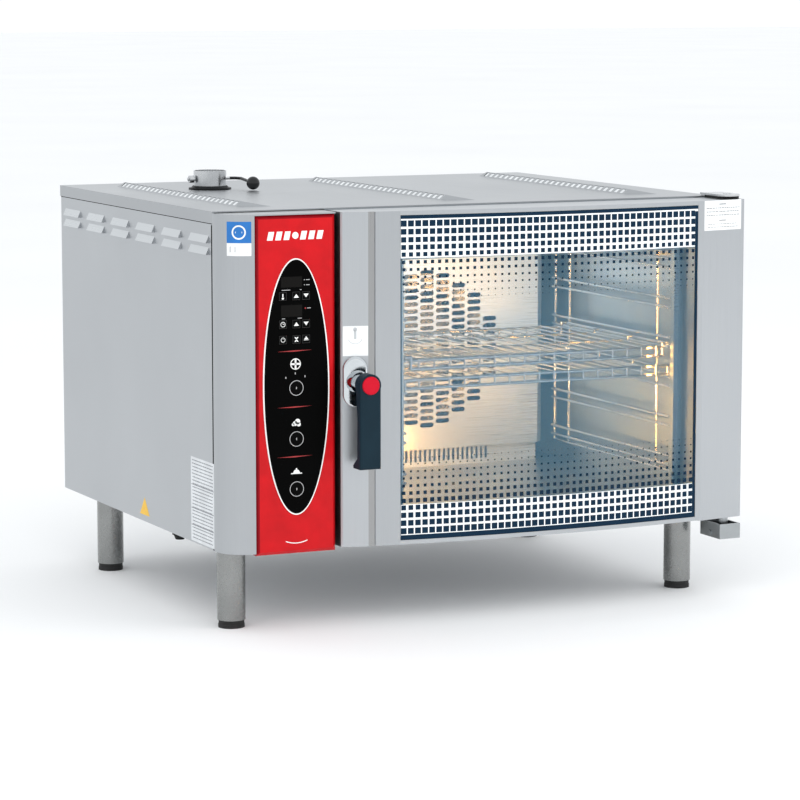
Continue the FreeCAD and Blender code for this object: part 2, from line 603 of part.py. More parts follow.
def wire_shelf(rest_z, hangs):
    """A wire shelf. rest_z is the middle of the side wires that lie on the rails."""
    half = RAIL_HALF_SPAN - 1.5
    upper = rest_z - SHELF_DROP if hangs else rest_z + SHELF_RIM_GAP
    lower = upper - SHELF_RIM_GAP
    left, right = CHAMBER_X - half, CHAMBER_X + half
    inset = SHELF_INSET if hangs else 0.0
    wires = [rod(V(x, SHELF_FRONT, rest_z), V(x, SHELF_REAR, rest_z), WIRE) for x in (left, right)]
    for y in (SHELF_FRONT, SHELF_REAR):
        for z in (upper, lower):
            wires.append(rod(V(left + inset, y, z), V(right - inset, y, z), WIRE))
        for outer, x in ((left, left + inset), (right, right - inset)):
            top = max(upper, rest_z)
            wires.append(rod(V(x, y, lower), V(x, y, top), WIRE))
            wires += [ball(V(x, y, z), WIRE) for z in (lower, top)]
            if hangs:
                wires += [rod(V(outer, y, rest_z), V(x, y, rest_z), WIRE), ball(V(outer, y, rest_z), WIRE)]
    middle = GRID_COUNT // 2
    for index in range(-middle, middle + 1):
        x = CHAMBER_X + index * GRID_PITCH
        route = [V(x, SHELF_FRONT - 2, lower), V(x, SHELF_FRONT - 2, upper + 2),
                 V(x, SHELF_REAR + 2, upper + 2),
                 V(x, SHELF_REAR + 2, lower)]
        wires.append(wire_path(route, GRID_WIRE))
    for y in (SHELF_FRONT + 135.0, SHELF_FRONT + 270.0):
        wires.append(rod(V(left + inset, y, upper), V(right - inset, y, upper), WIRE * 0.8))
        for outer, x in ((left, left + inset), (right, right - inset)):
            wires.append(rod(V(x, y, min(rest_z, upper)), V(x, y, max(rest_z, upper)), WIRE * 0.8))
            wires.append(ball(V(x, y, max(rest_z, upper)), WIRE * 0.8))
            if hangs:
                wires.append(rod(V(outer, y, rest_z), V(x, y, rest_z), WIRE * 0.8))
    return union(wires)


def upper_shelf():
    rail = RAIL_FIRST_Z + 3 * RAIL_PITCH
    return wire_shelf(rail + 2 * WIRE + SHELF_LIFT, True)


def lower_shelf():
    rail = RAIL_FIRST_Z + 2 * RAIL_PITCH + RAIL_PAIR_GAP
    return wire_shelf(rail + 2 * WIRE + SHELF_LIFT, False)


# ---- lamps, gasket, latch keeper -------------------------------------------------------------
def lamps():
    solids = []
    for z in LAMP_LEVELS:
        cup = tube(V(CHAMBER_LEFT - 34, LAMP_Y, z), V(CHAMBER_LEFT, LAMP_Y, z), LAMP_RADIUS, LAMP_RADIUS - 2)
        end = rod(V(CHAMBER_LEFT - 36, LAMP_Y, z), V(CHAMBER_LEFT - 34, LAMP_Y, z), LAMP_RADIUS)
        socket = rod(V(CHAMBER_LEFT - 50, LAMP_Y, z), V(CHAMBER_LEFT - 26, LAMP_Y, z), 8.0)
        bulb = rod(V(CHAMBER_LEFT - 26, LAMP_Y, z), V(CHAMBER_LEFT - 12, LAMP_Y, z), 5.0)
        rim = tube(V(CHAMBER_LEFT, LAMP_Y, z), V(CHAMBER_LEFT + 5, LAMP_Y, z), LAMP_RADIUS + 5,
                   LAMP_RADIUS - 3)
        solids.append(union([cup, end, socket, bulb, rim]))
    return Part.makeCompound(solids)


def lamp_lenses():
    return Part.makeCompound([rod(V(CHAMBER_LEFT - 4, LAMP_Y, z), V(CHAMBER_LEFT, LAMP_Y, z), LAMP_RADIUS - 2)
                              for z in LAMP_LEVELS])


def door_gasket():
    width = 12.0
    margin = 4.0
    y0, y1 = DOOR_BACK + 0.4, CHASSIS_FRONT

    def ring_block(grow, a, b):
        return box(CHAMBER_LEFT - grow, CHAMBER_RIGHT + grow, a, b, CHAMBER_FLOOR - grow,
                   CHAMBER_CEILING + grow)

    return ring_block(margin + width, y0, y1).cut(ring_block(margin, y0 - 1, y1 + 1))


LATCH_ARM_BACK = DOOR_BACK - 13.5
LATCH_ARM = 5.0                   # thickness of the arm, front to back
LATCH_REACH = 16.5
LIP_BACK = LATCH_ARM_BACK - LATCH_ARM - 1.0
LIP_FRONT = LIP_BACK - 3.5


def latch_keeper():
    """A plate on the chassis with an upper and a lower hook. The arm lies across between the hooks'
    lips while the handle hangs, and turns up behind them when the handle is turned."""
    plate = box(HANDLE_X - 14, HANDLE_X + 14, CHASSIS_FRONT - 2, CHASSIS_FRONT, HANDLE_Z - 26, HANDLE_Z + 26)
    hooks = []
    for wall_in, wall_out, lip in ((18.0, 21.5, 10.5), (-21.5, -18.0, -21.5)):
        hooks.append(box(HANDLE_X - 5, HANDLE_X + 5, LIP_FRONT, CHASSIS_FRONT - 2, HANDLE_Z + wall_in,
                         HANDLE_Z + wall_out))
        hooks.append(box(HANDLE_X - 5, HANDLE_X + 5, LIP_FRONT, LIP_BACK, HANDLE_Z + lip,
                         HANDLE_Z + lip + 11))
    return union([plate] + hooks)


# ---- hinges ----------------------------------------------------------------------------------
HINGE_HALF = 22.0
PLATE_LOW, PLATE_HIGH = TOP + 2.0, TOP + 5.5
PLATE_REAR = -357.0
BRACKET_FLOOR = 106.0
BRACKET_TOP = 134.0


def hinge_plate_top():
    x0, x1 = HINGE_X - HINGE_HALF - 1, HINGE_X + HINGE_HALF + 1
    strap = box(x0, x1, HINGE_Y, PLATE_REAR, PLATE_LOW, PLATE_HIGH)
    nose = rod(V(HINGE_X, HINGE_Y, PLATE_LOW), V(HINGE_X, HINGE_Y, PLATE_HIGH), HINGE_HALF + 1)
    spacer = box(x0 + 2, RIGHT, CHASSIS_FRONT, PLATE_REAR, TOP, PLATE_LOW)
    pin = rod(V(HINGE_X, HINGE_Y, MODULE_TOP - 26), V(HINGE_X, HINGE_Y, PLATE_HIGH), PIN_RADIUS)
    head = rod(V(HINGE_X, HINGE_Y, PLATE_HIGH), V(HINGE_X, HINGE_Y, PLATE_HIGH + 1.2), PIN_RADIUS + 3)
    return union([strap, nose, spacer, pin, head])


def hinge_bracket_bottom():
    x0, x1 = HINGE_X - HINGE_HALF, HINGE_X + HINGE_HALF
    y0 = HINGE_Y - 26.0
    wall = 3.0
    trough = box(x0, x1, y0, CHASSIS_FRONT, BRACKET_FLOOR, BRACKET_TOP)
    trough = trough.cut(box(x0 + wall, x1 - wall, y0 + wall, CHASSIS_FRONT - wall, BRACKET_FLOOR + wall,
                            BRACKET_TOP + 1))
    heel = box(x0, x1, CHASSIS_FRONT - wall, CHASSIS_FRONT, BRACKET_FLOOR, BOTTOM)
    foot = box(x0, x1, CHASSIS_FRONT, -300.0, BOTTOM - wall, BOTTOM)
    pin = rod(V(HINGE_X, HINGE_Y, BRACKET_FLOOR), V(HINGE_X, HINGE_Y, DOOR_BOTTOM + 28), PIN_RADIUS)
    collar = rod(V(HINGE_X, HINGE_Y, BRACKET_FLOOR + 3), V(HINGE_X, HINGE_Y, DOOR_BOTTOM - 2.4),
                 PIN_RADIUS + 4)
    screw = rod(V(x0 - 2.4, HINGE_Y + 10, BRACKET_FLOOR + 8), V(x0, HINGE_Y + 10, BRACKET_FLOOR + 8), 5.0)
    return union([trough, heel, foot, screw, pin, collar])


def hinge_washers():
    """The long pad under the top plate, and the round washer on the lower bracket's collar."""
    low = MODULE_TOP + 0.4
    pad = union([box(HINGE_X - HINGE_HALF, HINGE_X + HINGE_HALF, HINGE_Y, CHASSIS_FRONT - 1, low, PLATE_LOW),
                 rod(V(HINGE_X, HINGE_Y, low), V(HINGE_X, HINGE_Y, PLATE_LOW), HINGE_HALF)])
    pad = pad.cut(rod(V(HINGE_X, HINGE_Y, low - 1), V(HINGE_X, HINGE_Y, PLATE_LOW + 1), PIN_RADIUS))
    washer = tube(V(HINGE_X, HINGE_Y, DOOR_BOTTOM - 2.4), V(HINGE_X, HINGE_Y, DOOR_BOTTOM - 0.4), 15.0,
                  PIN_RADIUS)
    return Part.makeCompound([pad, washer])


# ---- door ------------------------------------------------------------------------------------
def bow_arc(inset, z):
    """The front curve of the door over the width of the glass, moved back by inset."""
    middle = (GLASS_LEFT + GLASS_RIGHT) / 2
    a = V(GLASS_LEFT, GLASS_EDGE_Y + inset, z)
    b = V(middle, GLASS_EDGE_Y - GLASS_BOW + inset, z)
    c = V(GLASS_RIGHT, GLASS_EDGE_Y + inset, z)
    return Part.Arc(a, b, c).toShape()


def bowed_prism(front_inset, back_inset, z0, z1):
    """A slab that follows the bow, from one depth behind the front curve to another."""
    front, back = bow_arc(front_inset, z0), bow_arc(back_inset, z0)
    left = Part.makeLine(V(GLASS_LEFT, GLASS_EDGE_Y + front_inset, z0),
                         V(GLASS_LEFT, GLASS_EDGE_Y + back_inset, z0))
    right = Part.makeLine(V(GLASS_RIGHT, GLASS_EDGE_Y + front_inset, z0),
                          V(GLASS_RIGHT, GLASS_EDGE_Y + back_inset, z0))
    return Part.Face(Part.Wire(Part.__sortEdges__([front, left, back, right]))).extrude(V(0, 0, z1 - z0))


def door_plan():
    """Plan outline of the door either side of the glass, from the glass round the back and again to it."""
    right_side = [(GLASS_RIGHT, GLASS_EDGE_Y), (GLASS_RIGHT + 9, GLASS_EDGE_Y - 4), (DOOR_RIGHT - 6, -446.0),
                  (DOOR_RIGHT - 1.8, -443.4), (DOOR_RIGHT, -439.0), (DOOR_RIGHT, -402.0),
                  (DOOR_RIGHT - 48, DOOR_BACK)]
    left_side = [(DOOR_LEFT, DOOR_BACK), (DOOR_LEFT, -434.0), (DOOR_LEFT + 2.4, -437.6), (-241.5, -450.6),
                 (-240.5, -448.4), (-229.5, -450.2), (-228.5, -452.7), (GLASS_LEFT - 1.5, GLASS_EDGE_Y)]
    return right_side + left_side


def door_prism(z0, z1):
    points = [V(x, y, z0) for x, y in door_plan()]
    edges = [Part.makeLine(a, b) for a, b in zip(points, points[1:] + [V(GLASS_LEFT, GLASS_EDGE_Y, z0)])]
    edges.append(bow_arc(0.0, z0))
    return Part.Face(Part.Wire(edges)), z1 - z0


def door_shell():
    face, height = door_prism(DOOR_BOTTOM, MODULE_TOP)
    outside = face.extrude(V(0, 0, height))
    inner_face, _ = door_prism(DOOR_BOTTOM + SHEET, MODULE_TOP)
    hollow = inner_face.makeOffset2D(-SHEET, 2).extrude(V(0, 0, height - 2 * SHEET))
    window = box(GLASS_LEFT, GLASS_RIGHT, FRONT - 60, GLASS_EDGE_Y + 12, DOOR_BOTTOM + GLASS_INSET,
                 MODULE_TOP - GLASS_INSET)
    left, right, low, high = BACK_WINDOW
    back_window = box(left, right, DOOR_BACK - 3, DOOR_BACK + 1, low, high)
    latch_window = box(HANDLE_X - 9, HANDLE_X + 9, DOOR_BACK - 3, DOOR_BACK + 1, HANDLE_Z - 25, HANDLE_Z + 25)
    for x in (GLASS_LEFT - 8, GLASS_RIGHT + 6):
        hollow = hollow.cut(box(x, x + SHEET, FRONT - 60, DOOR_BACK, DOOR_BOTTOM, MODULE_TOP))
    blocks = []
    for z0, z1 in ((DOOR_BOTTOM + SHEET, DOOR_BOTTOM + 34), (MODULE_TOP - 34, MODULE_TOP - SHEET)):
        blocks.append(box(HINGE_X - 16, HINGE_X + 16, HINGE_Y - 16, HINGE_Y + 12, z0, z1))
    emptied = minus(outside, [hollow, window, back_window, latch_window])
    shell = union([emptied] + [b.common(outside) for b in blocks])
    bores = []
    for z0, z1 in ((DOOR_BOTTOM - 1, DOOR_BOTTOM + 30), (MODULE_TOP - 30, MODULE_TOP + 1)):
        bores.append(rod(V(HINGE_X, HINGE_Y, z0), V(HINGE_X, HINGE_Y, z1), PIN_RADIUS + RUNNING_FIT))
    bores.append(rod(V(HANDLE_X, FRONT - 40, HANDLE_Z), V(HANDLE_X, FRONT + 12, HANDLE_Z),
                     SPINDLE_RADIUS + 1))
    return minus(shell, bores)


def door_glass_outer():
    gap = 0.6
    slab = bowed_prism(0.2, GLASS_THICK, DOOR_BOTTOM + GLASS_INSET + gap, MODULE_TOP - GLASS_INSET - gap)
    return slab.common(box(GLASS_LEFT + gap, GLASS_RIGHT - gap, FRONT - 60, FRONT + 20, BOTTOM, TOP))


def glass_seal():
    band = bowed_prism(GLASS_THICK, GLASS_THICK + 3.0, DOOR_BOTTOM + SHEET, MODULE_TOP - SHEET)
    side, end = 2.0, GLASS_INSET + 5.0
    middle = box(GLASS_LEFT + side, GLASS_RIGHT - side, FRONT - 60, FRONT + 20, DOOR_BOTTOM + end,
                 MODULE_TOP - end)
    return band.cut(middle)


def door_inner_panel():
    x0, x1, z0, z1 = INNER_WINDOW
    left, right, low, high = BACK_WINDOW
    sheet = box(left, right, DOOR_BACK - SHEET, DOOR_BACK, low, high)
    lip = 10.0
    collar = box(x0 - SHEET, x1 + SHEET, DOOR_BACK - SHEET - lip, DOOR_BACK - SHEET, z0 - SHEET, z1 + SHEET)
    window = box(x0, x1, DOOR_BACK - 30, DOOR_BACK + 1, z0, z1)
    return union([sheet, collar]).cut(window)


def door_glass_inner():
    x0, x1, z0, z1 = INNER_WINDOW
    front = DOOR_BACK - SHEET - 10.0
    margin = 14.0
    return box(x0 - margin, x1 + margin, front - 4.0, front, z0 - margin, z1 + margin)


def stile_front(x):
    """Depth of the left stile's first face at x."""
    return -437.0 - (x - DOOR_LEFT) * STILE_FACE_SLOPE


def handle_rosette():
    """An oval escutcheon that lies on the slanted stile face."""
    half_w, half_h = ROSETTE_WIDTH / 2, ROSETTE_HEIGHT / 2
    blank = union([
        box(-half_w, half_w, -9.0, 8.0, -half_h + half_w, half_h - half_w),
        rod(V(0, -9.0, half_h - half_w), V(0, 8.0, half_h - half_w), half_w),
        rod(V(0, -9.0, -half_h + half_w), V(0, 8.0, -half_h + half_w), half_w),
    ])
    rim = [e for e in blank.Edges if abs(e.BoundBox.YMax + 9.0) < 1e-6]
    blank = blank.makeFillet(4.0, rim)
    blank.rotate(V(0, 0, 0), Z_AXIS, -math.degrees(math.atan(STILE_FACE_SLOPE)))
    blank.translate(V(HANDLE_X, stile_front(HANDLE_X) + 0.2, HANDLE_Z))
    face, height = door_prism(DOOR_BOTTOM, MODULE_TOP)
    blank = blank.cut(face.extrude(V(0, 0, height)))
    collar = union([rod(V(HANDLE_X, -468.0, HANDLE_Z), V(HANDLE_X, -440.0, HANDLE_Z), 19.0),
                    rod(V(HANDLE_X, LEVER_REAR + 0.8, HANDLE_Z), V(HANDLE_X, -440.0, HANDLE_Z), 14.5)])
    collar = collar.cut(face.extrude(V(0, 0, height)))
    hole = rod(V(HANDLE_X, LEVER_REAR, HANDLE_Z), V(HANDLE_X, -400.0, HANDLE_Z), SPINDLE_RADIUS + RUNNING_FIT)
    return union([blank, collar]).cut(hole)


# ---- handle ----------------------------------------------------------------------------------
def latch_spindle():
    """The spindle through the stile, with the latch arm across its inner end."""
    spindle = rod(V(HANDLE_X, LEVER_REAR - 9, HANDLE_Z), V(HANDLE_X, LATCH_ARM_BACK, HANDLE_Z),
                  SPINDLE_RADIUS)
    front = LATCH_ARM_BACK - LATCH_ARM
    disc = rod(V(HANDLE_X, front, HANDLE_Z), V(HANDLE_X, LATCH_ARM_BACK, HANDLE_Z), LATCH_REACH)
    arm = disc.common(box(HANDLE_X - 20, HANDLE_X + 20, front, LATCH_ARM_BACK, HANDLE_Z - 7, HANDLE_Z + 7))
    return union([spindle, arm])


def handle_lever():
    """Hub and hanging grip, with a finger rest that kicks back at its lower end."""
    x, z = HANDLE_X, HANDLE_Z
    hub = rod(V(x, LEVER_FRONT + 2, z), V(x, LEVER_REAR, z), LEVER_RADIUS)
    low = z - LEVER_DROP
    side = [(LEVER_FRONT + 3, z + 6), (LEVER_FRONT, z - 22), (LEVER_FRONT, low + 4), (LEVER_FRONT + 2.5, low),
            (LEVER_FRONT + 32, low), (LEVER_FRONT + 33, low + 5), (LEVER_FRONT + 20, low + 15),
            (LEVER_FRONT + 18, z - 30), (LEVER_FRONT + 22, z + 6)]
    grip = polygon_yz(side, x - LEVER_RADIUS, x + LEVER_RADIUS)
    upright = [e for e in grip.Edges if e.BoundBox.XLength < 1e-6 and e.BoundBox.ZLength > 60]
    grip = grip.makeFillet(5.0, upright)
    socket = rod(V(x, LEVER_FRONT - 1, z), V(x, LEVER_FRONT + 8, z), CAP_RADIUS)
    seat = rod(V(x, LEVER_REAR - 9, z), V(x, LEVER_REAR + 1, z), SPINDLE_RADIUS)
    return minus(union([hub, grip]), [socket, seat])


def handle_cap():
    centre = V(HANDLE_X, 0, HANDLE_Z)
    disc = rod(centre + V(0, LEVER_FRONT - 2, 0), centre + V(0, LEVER_FRONT + 8, 0), CAP_RADIUS)
    front = [e for e in disc.Edges if abs(e.BoundBox.YMax - (LEVER_FRONT - 2)) < 1e-6]
    return disc.makeFillet(2.0, front)


# ---- flue and damper -------------------------------------------------------------------------
def flue_pipe():
    inner = FLUE_RADIUS - FLUE_WALL
    upright = rod(V(FLUE_X, FLUE_Y, DUCT_Z), V(FLUE_X, FLUE_Y, FLUE_TOP), FLUE_RADIUS)
    outlet = rod(V(FLUE_X, FLUE_Y, FLUE_TOP - OUTLET_LENGTH), V(FLUE_X, FLUE_Y, FLUE_TOP), OUTLET_RADIUS)
    across = rod(V(FLUE_X, FLUE_Y, DUCT_Z), V(CHAMBER_LEFT, FLUE_Y, DUCT_Z), FLUE_RADIUS)
    outside = union([upright, outlet, across, ball(V(FLUE_X, FLUE_Y, DUCT_Z), FLUE_RADIUS)])
    bore = [rod(V(FLUE_X, FLUE_Y, DUCT_Z), V(FLUE_X, FLUE_Y, FLUE_TOP + 1), inner),
            rod(V(FLUE_X, FLUE_Y, DUCT_Z), V(CHAMBER_LEFT + 1, FLUE_Y, DUCT_Z), inner),
            ball(V(FLUE_X, FLUE_Y, DUCT_Z), inner)]
    shaft_hole = rod(V(FLUE_X - 40, FLUE_Y, DAMPER_Z), V(FLUE_X + 40, FLUE_Y, DAMPER_Z),
                     SHAFT_RADIUS / 2 + RUNNING_FIT)
    return minus(outside, bore + [shaft_hole])


def flue_flange():
    plate = rod(V(FLUE_X, FLUE_Y, TOP), V(FLUE_X, FLUE_Y, TOP + 3), 41.0)
    plate = plate.fuse(Part.makeCone(37.0, 33.0, 4.0, V(FLUE_X, FLUE_Y, TOP + 3)))
    return plate.removeSplitter().cut(rod(V(FLUE_X, FLUE_Y, TOP - 1), V(FLUE_X, FLUE_Y, TOP + 9),
                                          FLUE_RADIUS))


def damper_plate():
    """Butterfly blade on its cross shaft, with the nut on the left end. The blade leaves the flue partly
    open when it lies flat."""
    disc = rod(V(FLUE_X, FLUE_Y, DAMPER_Z - 1), V(FLUE_X, FLUE_Y, DAMPER_Z + 1),
               FLUE_RADIUS - FLUE_WALL - 1.0)
    disc = disc.common(box(FLUE_X - 40, FLUE_X + 40, FLUE_Y - 15, FLUE_Y + 15, DAMPER_Z - 2, DAMPER_Z + 2))
    shaft = rod(V(FLUE_X - 46, FLUE_Y, DAMPER_Z), V(FLUE_X + 40, FLUE_Y, DAMPER_Z), SHAFT_RADIUS / 2)
    nut = Part.makeCylinder(7.0, 9.0, V(FLUE_X - 43, FLUE_Y, DAMPER_Z), X_AXIS)
    return union([disc, shaft, nut])


BALL_RADIUS = 12.7
BALL_PLACE = V(-221.0, 126.0, TOP + 14.0)


def damper_lever():
    """The bent rod with its ball."""
    elbow = V(FLUE_X + 52, FLUE_Y, DAMPER_Z)
    bend = elbow + V(6, -18, 0)
    direction = (BALL_PLACE - bend).normalize()
    socket = rod(BALL_PLACE - direction * (BALL_RADIUS + 6), BALL_PLACE, 5.0)
    arm = wire_path([V(FLUE_X + 40, FLUE_Y, DAMPER_Z), elbow, bend, BALL_PLACE], SHAFT_RADIUS / 2)
    return union([arm, ball(BALL_PLACE, BALL_RADIUS), socket])


# ---- legs, feet, connections, screws ---------------------------------------------------------
def leg_tubes():
    solids = []
    for x, y in leg_places():
        pipe = tube(V(x, y, TUBE_END), V(x, y, BOTTOM - 3), LEG_RADIUS, LEG_RADIUS - LEG_WALL)
        half = min(LEG_PLATE / 2, PANEL_OUT - abs(x))
        plate = box(x - half, x + half, y - half, y + half, BOTTOM - 3, BOTTOM)
        solids.append(union([pipe, plate]))
    return Part.makeCompound(solids)


def foot(x, y):
    stem_radius = LEG_RADIUS - LEG_WALL - FOOT_CLEARANCE
    pad = rod(V(x, y, 0), V(x, y, FOOT_PAD_HEIGHT), stem_radius + 0.8)
    sleeve = tube(V(x, y, FOOT_PAD_HEIGHT), V(x, y, FOOT_STEM_TOP), stem_radius,
                  stem_radius - FOOT_SLEEVE_WALL)
    return union([pad, sleeve])


def cable_gland():
    centre = V(GLAND_X, GLAND_Y, 0)
    nut = Part.makeCylinder(14.0, 8.0, centre + V(0, 0, BOTTOM - 8))
    dome = Part.makeCone(8.0, 12.0, 9.0, centre + V(0, 0, BOTTOM - 17))
    thread = rod(centre + V(0, 0, BOTTOM - 8), centre + V(0, 0, BOTTOM + 10), 10.0)
    locknut = rod(centre + V(0, 0, BOTTOM + SHEET), centre + V(0, 0, BOTTOM + 7), 14.0)
    bore = rod(centre + V(0, 0, BOTTOM - 18), centre + V(0, 0, BOTTOM + 12), 6.0)
    return union([nut, dome, thread, locknut]).cut(bore)


def water_inlet():
    """Solenoid valve inside the back panel, with its threaded stub outside."""
    x, z = INLET_X, INLET_Z
    stub = rod(V(x, BACK - 60, z), V(x, BACK + INLET_LENGTH, z), 13.0)
    collar = rod(V(x, BACK, z), V(x, BACK + 6, z), 18.0)
    body = box(x - 20, x + 20, BACK - 74, BACK - 34, z - 18, z + 18)
    coil = box(x - 16, x + 16, BACK - 70, BACK - 38, z + 18, z + 54)
    bore = rod(V(x, BACK - 50, z), V(x, BACK + INLET_LENGTH + 1, z), 9.5)
    return union([stub, collar, body, coil]).cut(bore)


def panel_screws():
    """Pan-head screws that hold the back panel."""
    solids = []
    for x in (-PANEL_IN + 14, 0.0, PANEL_IN - 14):
        for z in (BOTTOM + 14, (BOTTOM + TOP) / 2, TOP - SKIRT_HEIGHT - 14):
            solids.append(rod(V(x, BACK, z), V(x, BACK + 2.2, z), 4.5))
    return Part.makeCompound(solids)


def build():
    nodes = {
        "base_pan": base_pan(),
        "back_panel": back_panel(),
        "side_panel_left": side_panel(-1),
        "side_panel_right": side_panel(1),
        "top_cover": top_cover(),
        "corner_post": corner_post(),
        "control_panel": control_panel(),
        "control_overlay": control_overlay(),
        "control_board": control_board(),
        "chamber_liner": chamber_liner(),
        "insulation": insulation(),
        "fan_baffle": fan_baffle(),
        "fan_wheel": fan_wheel(),
        "fan_motor": fan_motor(),
        "heating_element": heating_element(),
        "steam_injector": steam_injector(),
        "chamber_drain": chamber_drain(),
        "tray_racks": tray_racks(),
        "shelf_upper": upper_shelf(),
        "shelf_lower": lower_shelf(),
        "lamps": lamps(),
        "lamp_lenses": lamp_lenses(),
        "door_gasket": door_gasket(),
        "latch_keeper": latch_keeper(),
        "hinge_plate_top": hinge_plate_top(),
        "hinge_bracket_bottom": hinge_bracket_bottom(),
        "hinge_washers": hinge_washers(),
        "door_shell": door_shell(),
        "door_glass_outer": door_glass_outer(),
        "glass_seal": glass_seal(),
        "door_inner_panel": door_inner_panel(),
        "door_glass_inner": door_glass_inner(),
        "handle_rosette": handle_rosette(),
        "latch_spindle": latch_spindle(),
        "handle_lever": handle_lever(),
        "handle_cap": handle_cap(),
        "flue_pipe": flue_pipe(),
        "flue_flange": flue_flange(),
        "damper_plate": damper_plate(),
        "damper_lever": damper_lever(),
        "leg_tubes": leg_tubes(),
        "cable_gland": cable_gland(),
        "water_inlet": water_inlet(),
        "panel_screws": panel_screws(),
    }
    for row, z in enumerate(KEY_ROWS, 1):
        for column, x in enumerate(KEY_COLUMNS, 1):
            nodes[f"key_{row}_{column}"] = square_key(x, z)
    for row, z in enumerate(RING_KEY_ROWS, 1):
        nodes[f"ring_key_{row}"] = ring_key(z)
    for name, (x, y) in zip(("front_left", "front_right", "rear_left", "rear_right"), leg_places()):
        nodes[f"foot_{name}"] = foot(x, y)
    return nodes


def main():
    nodes = build()
    bounds = FreeCAD.BoundBox()
    for shape in nodes.values():
        bounds.add(shape.BoundBox)
    shift = V(-bounds.Center.x, -bounds.Center.y, -bounds.ZMin)
    os.makedirs("parts", exist_ok=True)
    for name, shape in nodes.items():
        if not shape.isValid():
            print("not valid:", name)
        moved = shape.translated(shift)
        moved.exportStep(f"parts/{name}.step")
    print("nodes", len(nodes), "shift", [round(value, 3) for value in shift], "size",
          round(bounds.XLength, 1), round(bounds.YLength, 1), round(bounds.ZLength, 1))


main()
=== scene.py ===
import math
import random

import bpy
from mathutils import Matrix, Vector


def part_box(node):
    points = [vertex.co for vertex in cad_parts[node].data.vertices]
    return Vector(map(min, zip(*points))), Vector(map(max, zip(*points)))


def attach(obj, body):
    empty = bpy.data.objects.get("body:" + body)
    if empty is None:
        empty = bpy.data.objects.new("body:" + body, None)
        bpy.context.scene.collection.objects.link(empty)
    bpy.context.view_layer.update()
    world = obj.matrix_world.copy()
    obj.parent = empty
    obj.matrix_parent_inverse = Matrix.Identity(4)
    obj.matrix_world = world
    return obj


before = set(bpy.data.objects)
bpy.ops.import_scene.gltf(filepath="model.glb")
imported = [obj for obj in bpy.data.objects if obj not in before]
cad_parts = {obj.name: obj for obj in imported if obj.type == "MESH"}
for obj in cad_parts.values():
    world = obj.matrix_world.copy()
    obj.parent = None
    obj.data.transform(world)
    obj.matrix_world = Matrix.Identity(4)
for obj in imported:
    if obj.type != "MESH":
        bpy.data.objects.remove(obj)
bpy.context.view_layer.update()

# ---- where things are ------------------------------------------------------------------------
# Lengths below are in millimetres from the middle of the cabinet, and at() turns them into the frame's
# metres. The control column's lowest corner ties the two together.
COLUMN_CORNER = Vector((-448.0, -431.0, 142.0))
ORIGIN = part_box("control_panel")[0] - COLUMN_CORNER / 1000


def at(x, y, z):
    return ORIGIN + Vector((x, y, z)) / 1000


# ---- material tools --------------------------------------------------------------------------
class Look:
    """A node material: one Principled shader, and short calls that add the nodes behind it."""

    def __init__(self, name, **values):
        self.material = bpy.data.materials.new(name)
        self.material.use_nodes = True
        self.tree = self.material.node_tree
        self.shader = self.tree.nodes["Principled BSDF"]
        for key, value in values.items():
            self.shader.inputs[key.replace("_", " ")].default_value = value

    def node(self, kind, **settings):
        made = self.tree.nodes.new(kind)
        for key, value in settings.items():
            setattr(made, key, value)
        return made

    def link(self, source, target):
        self.tree.links.new(source, target)

    def place(self, scale):
        """Object coordinates in metres, stretched."""
        coordinates = self.node("ShaderNodeTexCoord")
        mapping = self.node("ShaderNodeMapping")
        mapping.inputs["Scale"].default_value = scale
        self.link(coordinates.outputs["Object"], mapping.inputs["Vector"])
        return mapping.outputs["Vector"]

    def noise(self, scale, detail, rough):
        made = self.node("ShaderNodeTexNoise")
        made.inputs["Scale"].default_value = 1.0
        made.inputs["Detail"].default_value = detail
        made.inputs["Roughness"].default_value = rough
        self.link(self.place(scale), made.inputs["Vector"])
        return made.outputs["Fac"]

    def spread(self, source, low, high, start=0.3, end=0.7):
        made = self.node("ShaderNodeMapRange")
        made.inputs["From Min"].default_value = start
        made.inputs["From Max"].default_value = end
        made.inputs["To Min"].default_value = low
        made.inputs["To Max"].default_value = high
        self.link(source, made.inputs["Value"])
        return made.outputs["Result"]

    def blend(self, factor, first, second):
        made = self.node("ShaderNodeMix", data_type="RGBA")
        self.link(factor, made.inputs["Factor"])
        for socket, value in (("A", first), ("B", second)):
            target = [s for s in made.inputs if s.name == socket and s.type == "RGBA"][0]
            if isinstance(value, tuple):
                target.default_value = (*value, 1.0)
            else:
                self.link(value, target)
        return [s for s in made.outputs if s.type == "RGBA"][0]

    def add(self, first, second):
        made = self.node("ShaderNodeMath", operation="ADD")
        self.link(first, made.inputs[0])
        self.link(second, made.inputs[1])
        return made.outputs[0]

    def bump(self, height, strength, distance):
        made = self.node("ShaderNodeBump")
        made.inputs["Strength"].default_value = strength
        made.inputs["Distance"].default_value = distance
        self.link(height, made.inputs["Height"])
        self.link(made.outputs["Normal"], self.shader.inputs["Normal"])

    def drive(self, **sources):
        for key, source in sources.items():
            self.link(source, self.shader.inputs[key.replace("_", " ")])


def shade(colour, factor):
    return tuple(channel * factor for channel in colour)


GRAIN_LONG, GRAIN_FINE = 9.0, 1400.0          # marks per metre along the brushing and across it


